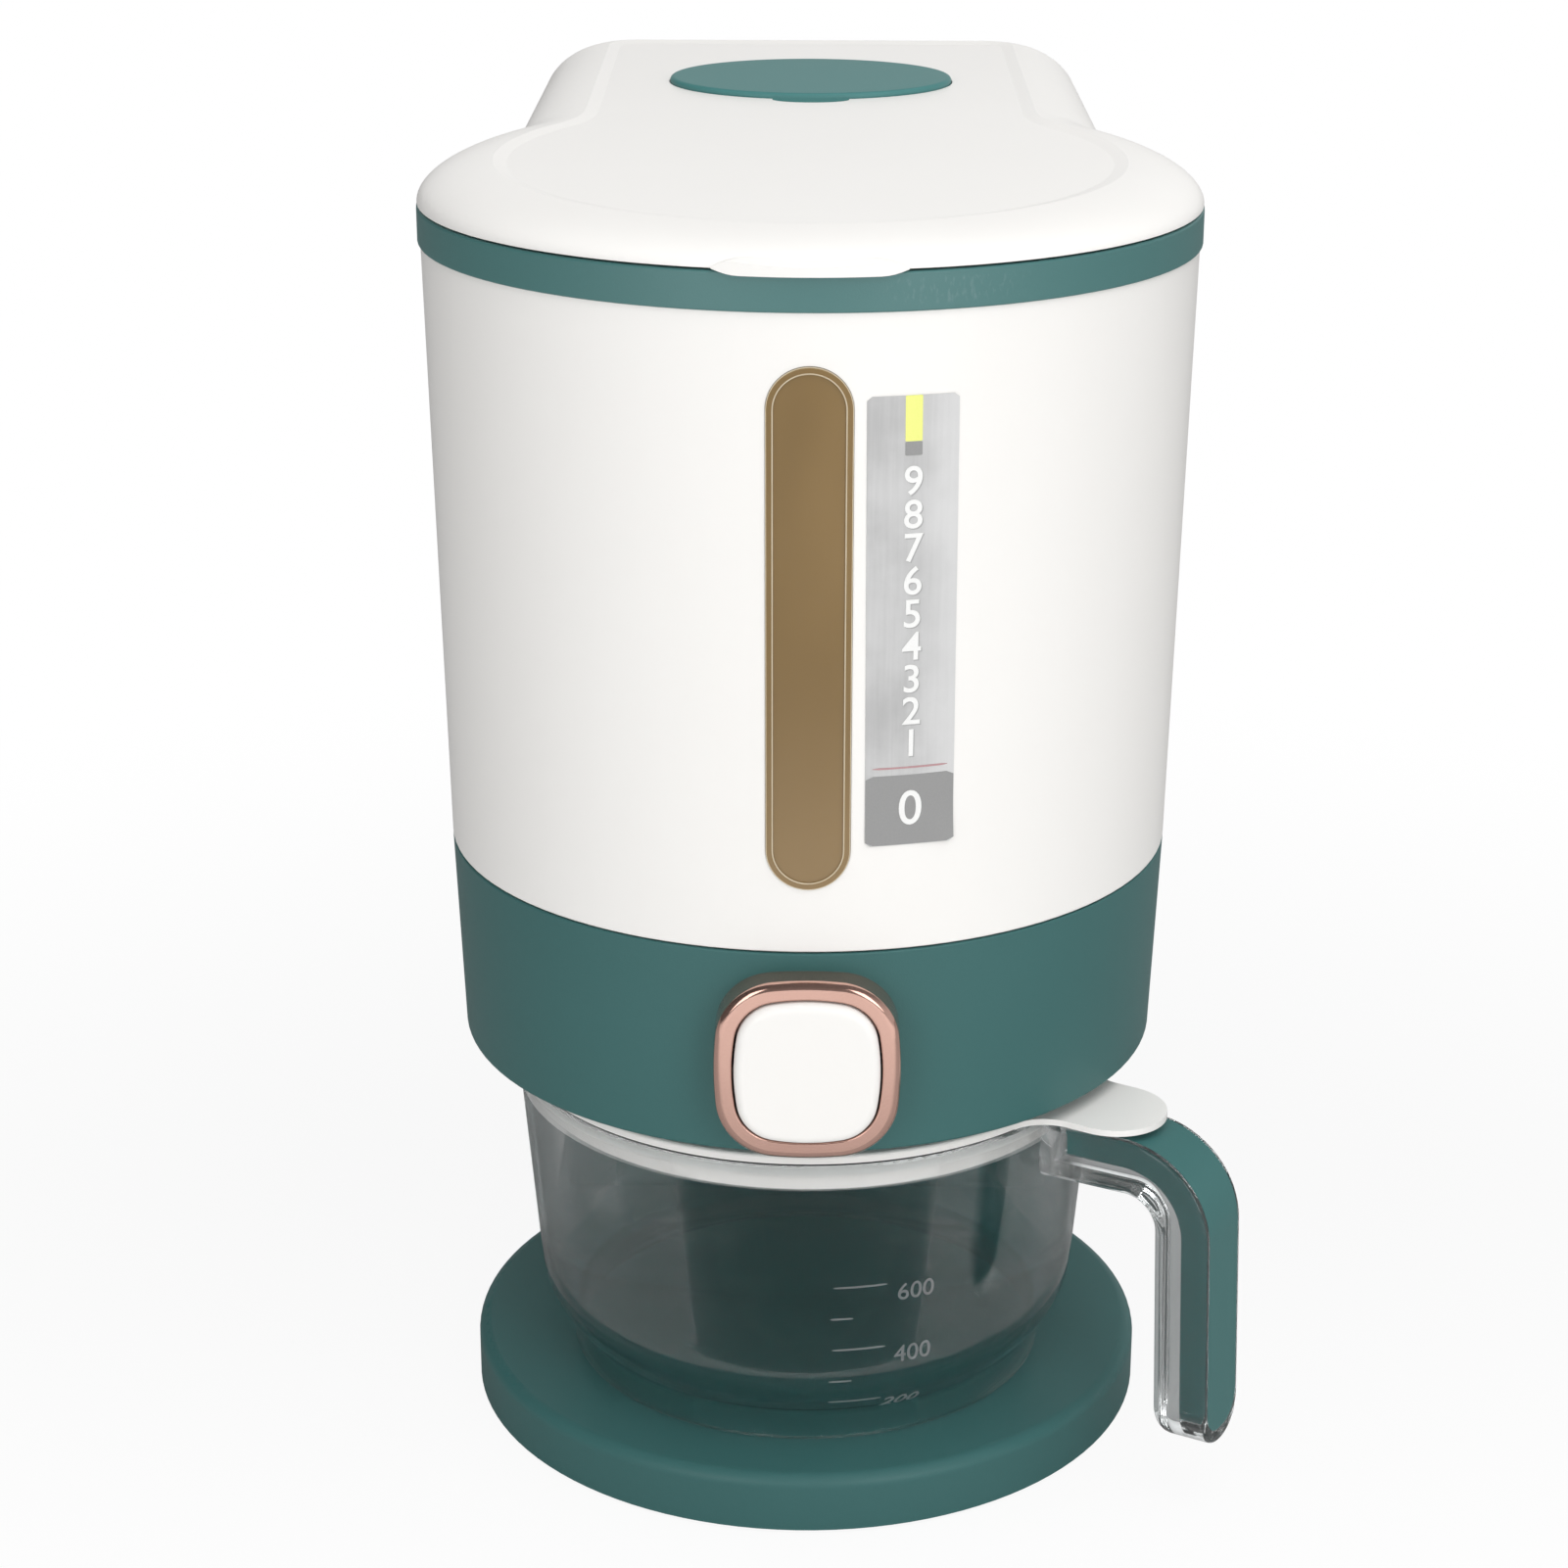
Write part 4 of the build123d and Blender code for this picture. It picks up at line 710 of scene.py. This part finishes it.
# %% [markdown]
# ## The floor
# The floor is white and keeps the dispenser's shadow. For the camera it also glows, so that it runs
# into the white of the world without more light on the object. From the dispenser backwards it is
# duller, and in mirrors already in front of the base, which is painted shade, because a floor that
# shines from below would lay a veil over the clear cup.

# %% White floor
FLOOR_HALF, FLOOR_PALE, FLOOR_PAINTED_SHADE = 6, even(0.88), even(0.40)


def pale_floor():
    material, place = begin("pale_floor")
    depth = place.axes()[1]
    behind, near = depth.ramp(-0.25, 0.20), depth.ramp(-0.55, -0.32)
    # The duller floor behind, and in mirrors in front of the base, is painted shade.
    dim = behind.larger(place.ray("Glossy") * near) + 0.04 * place.noise(3.0, 2.0)
    pale, dull = (place.node("ShaderNodeBsdfDiffuse", None, {"Color": tone})
                  for tone in (FLOOR_PALE, FLOOR_PAINTED_SHADE))
    matte = place.node("ShaderNodeMixShader", None, {0: dim, 1: pale, 2: dull})
    glow = place.node("ShaderNodeEmission", None, {"Color": even(1), "Strength": 1.0})
    away = place.node("ShaderNodeVectorMath", {"operation": "LENGTH"}, {0: place}, "Value")
    seen = place.ray("Camera") * away.ramp(0.20, 0.80, 0.92, 1.0)
    both = place.node("ShaderNodeMixShader", None, {0: seen, 1: matte, 2: glow})
    place.node("ShaderNodeOutputMaterial", None, {"Surface": both})
    corners = [(FLOOR_HALF * x, FLOOR_HALF * y, 0) for x, y in ((-1, -1), (1, -1), (1, 1), (-1, 1))]
    mesh = bpy.data.meshes.new("floor")
    mesh.from_pydata(corners, [], [(0, 1, 2, 3)])
    mesh.materials.append(material)
    floor = bpy.data.objects.new("floor", mesh)
    bpy.context.scene.collection.objects.link(floor)
    print("floor nodes", len(material.node_tree.nodes))


pale_floor()

# %% [markdown]
# ## The world
# A studio is white where the camera looks and dim elsewhere. One even white would flatten every
# gloss. So the world is white to the camera and about two thirds white through clear plastic.
# Mirrors see a dim room, brighter to the right and darker overhead, with a pale backdrop behind the
# dispenser. All other light is a soft fill, a little stronger from the right.

# %% White world
def white_world():
    world = bpy.data.worlds.new("studio")
    bpy.context.scene.world = world
    world.use_nodes = True
    world.node_tree.nodes.clear()
    start = Sock(world.node_tree)
    x, y, z = start.node("ShaderNodeTexCoord", out="Generated").axes()
    room = x.ramp(-0.7, 0.7, 0.05, 0.55) * z.ramp(0.15, 0.75, 1.0, 0.25)
    backdrop = y.ramp(0.75, 0.97) * z.between(0.02, 0.14, 0.30, 0.60)
    room = room * y.ramp(-0.95, -0.55, 0.5, 1.0) + 0.6 * backdrop
    fill = x.ramp(-1.0, 1.0, 0.44, 0.62)
    level = fill + start.ray("Glossy") * (room - fill)
    white = start.ray("Camera").larger(0.65 * start.ray("Transmission"))
    level = level + white * (1.0 - level)
    light = start.node("ShaderNodeBackground", None, {"Color": even(1), "Strength": level})
    start.node("ShaderNodeOutputWorld", None, {"Surface": light})
    print("world nodes", len(world.node_tree.nodes))


white_world()
bpy.context.scene.view_settings.view_transform = "Standard"

# %% [markdown]
# ## Lamps
# Two soft boxes stand left and right of the camera, the right one a little stronger, and a large
# one hangs above. A single lamp would be simpler, but its shadows would be hard. Mirrors do not see
# the box above, so that the rounded edges keep only the highlights of the two in front.

# %% Soft boxes
def soft_box(name, place, target, size, power):
    lamp = bpy.data.lights.new(name, "AREA")
    lamp.shape, lamp.size, lamp.size_y, lamp.energy = "RECTANGLE", size[0], size[1], power
    box = bpy.data.objects.new(name, lamp)
    box.location = place
    box.rotation_euler = (Vector(target) - Vector(place)).to_track_quat("-Z", "Y").to_euler()
    bpy.context.scene.collection.objects.link(box)
    print(name, power, "W")
    return box


for name, side, power in (("soft_box_left", -0.80, 5.6), ("soft_box_right", 0.80, 6.2)):
    soft_box(name, (side, -1.50, 0.80), (0, 0, 0.40), (0.70, 1.10), power)
above = soft_box("soft_box_top", (0.35, -0.6, 2.0), (0, -0.1, 0.2), (1.8, 1.8), 20.5)
above.visible_glossy = False

# %% [markdown]
# ## The camera
# The camera repeats the photograph: one metre in front, looking down by about twenty degrees. Lens
# and shift are kept as they were measured, in pixels of the photograph.

# %% Camera
PHOTO_WIDTH, FOCAL_PIXELS, AXIS_PIXEL, SENSOR = 1601, 3354.9, 825.17, 36.0
EYE, LOOK_DOWN, ROLL = (0.0, -1.01118, 0.57555), math.radians(19.79), 0.0038

camera = bpy.data.cameras.new("camera")
camera.sensor_width, camera.lens = SENSOR, SENSOR * FOCAL_PIXELS / PHOTO_WIDTH
camera.shift_x = (PHOTO_WIDTH / 2 - AXIS_PIXEL) / PHOTO_WIDTH
eye = bpy.data.objects.new("camera", camera)
eye.location = EYE
eye.rotation_euler = (Matrix.Rotation(math.pi / 2 - LOOK_DOWN, 3, "X")
                      @ Matrix.Rotation(ROLL, 3, "Z")).to_euler()
bpy.context.scene.collection.objects.link(eye)
bpy.context.scene.camera = eye
print("camera lens", round(camera.lens, 2), "shift", round(camera.shift_x, 4))
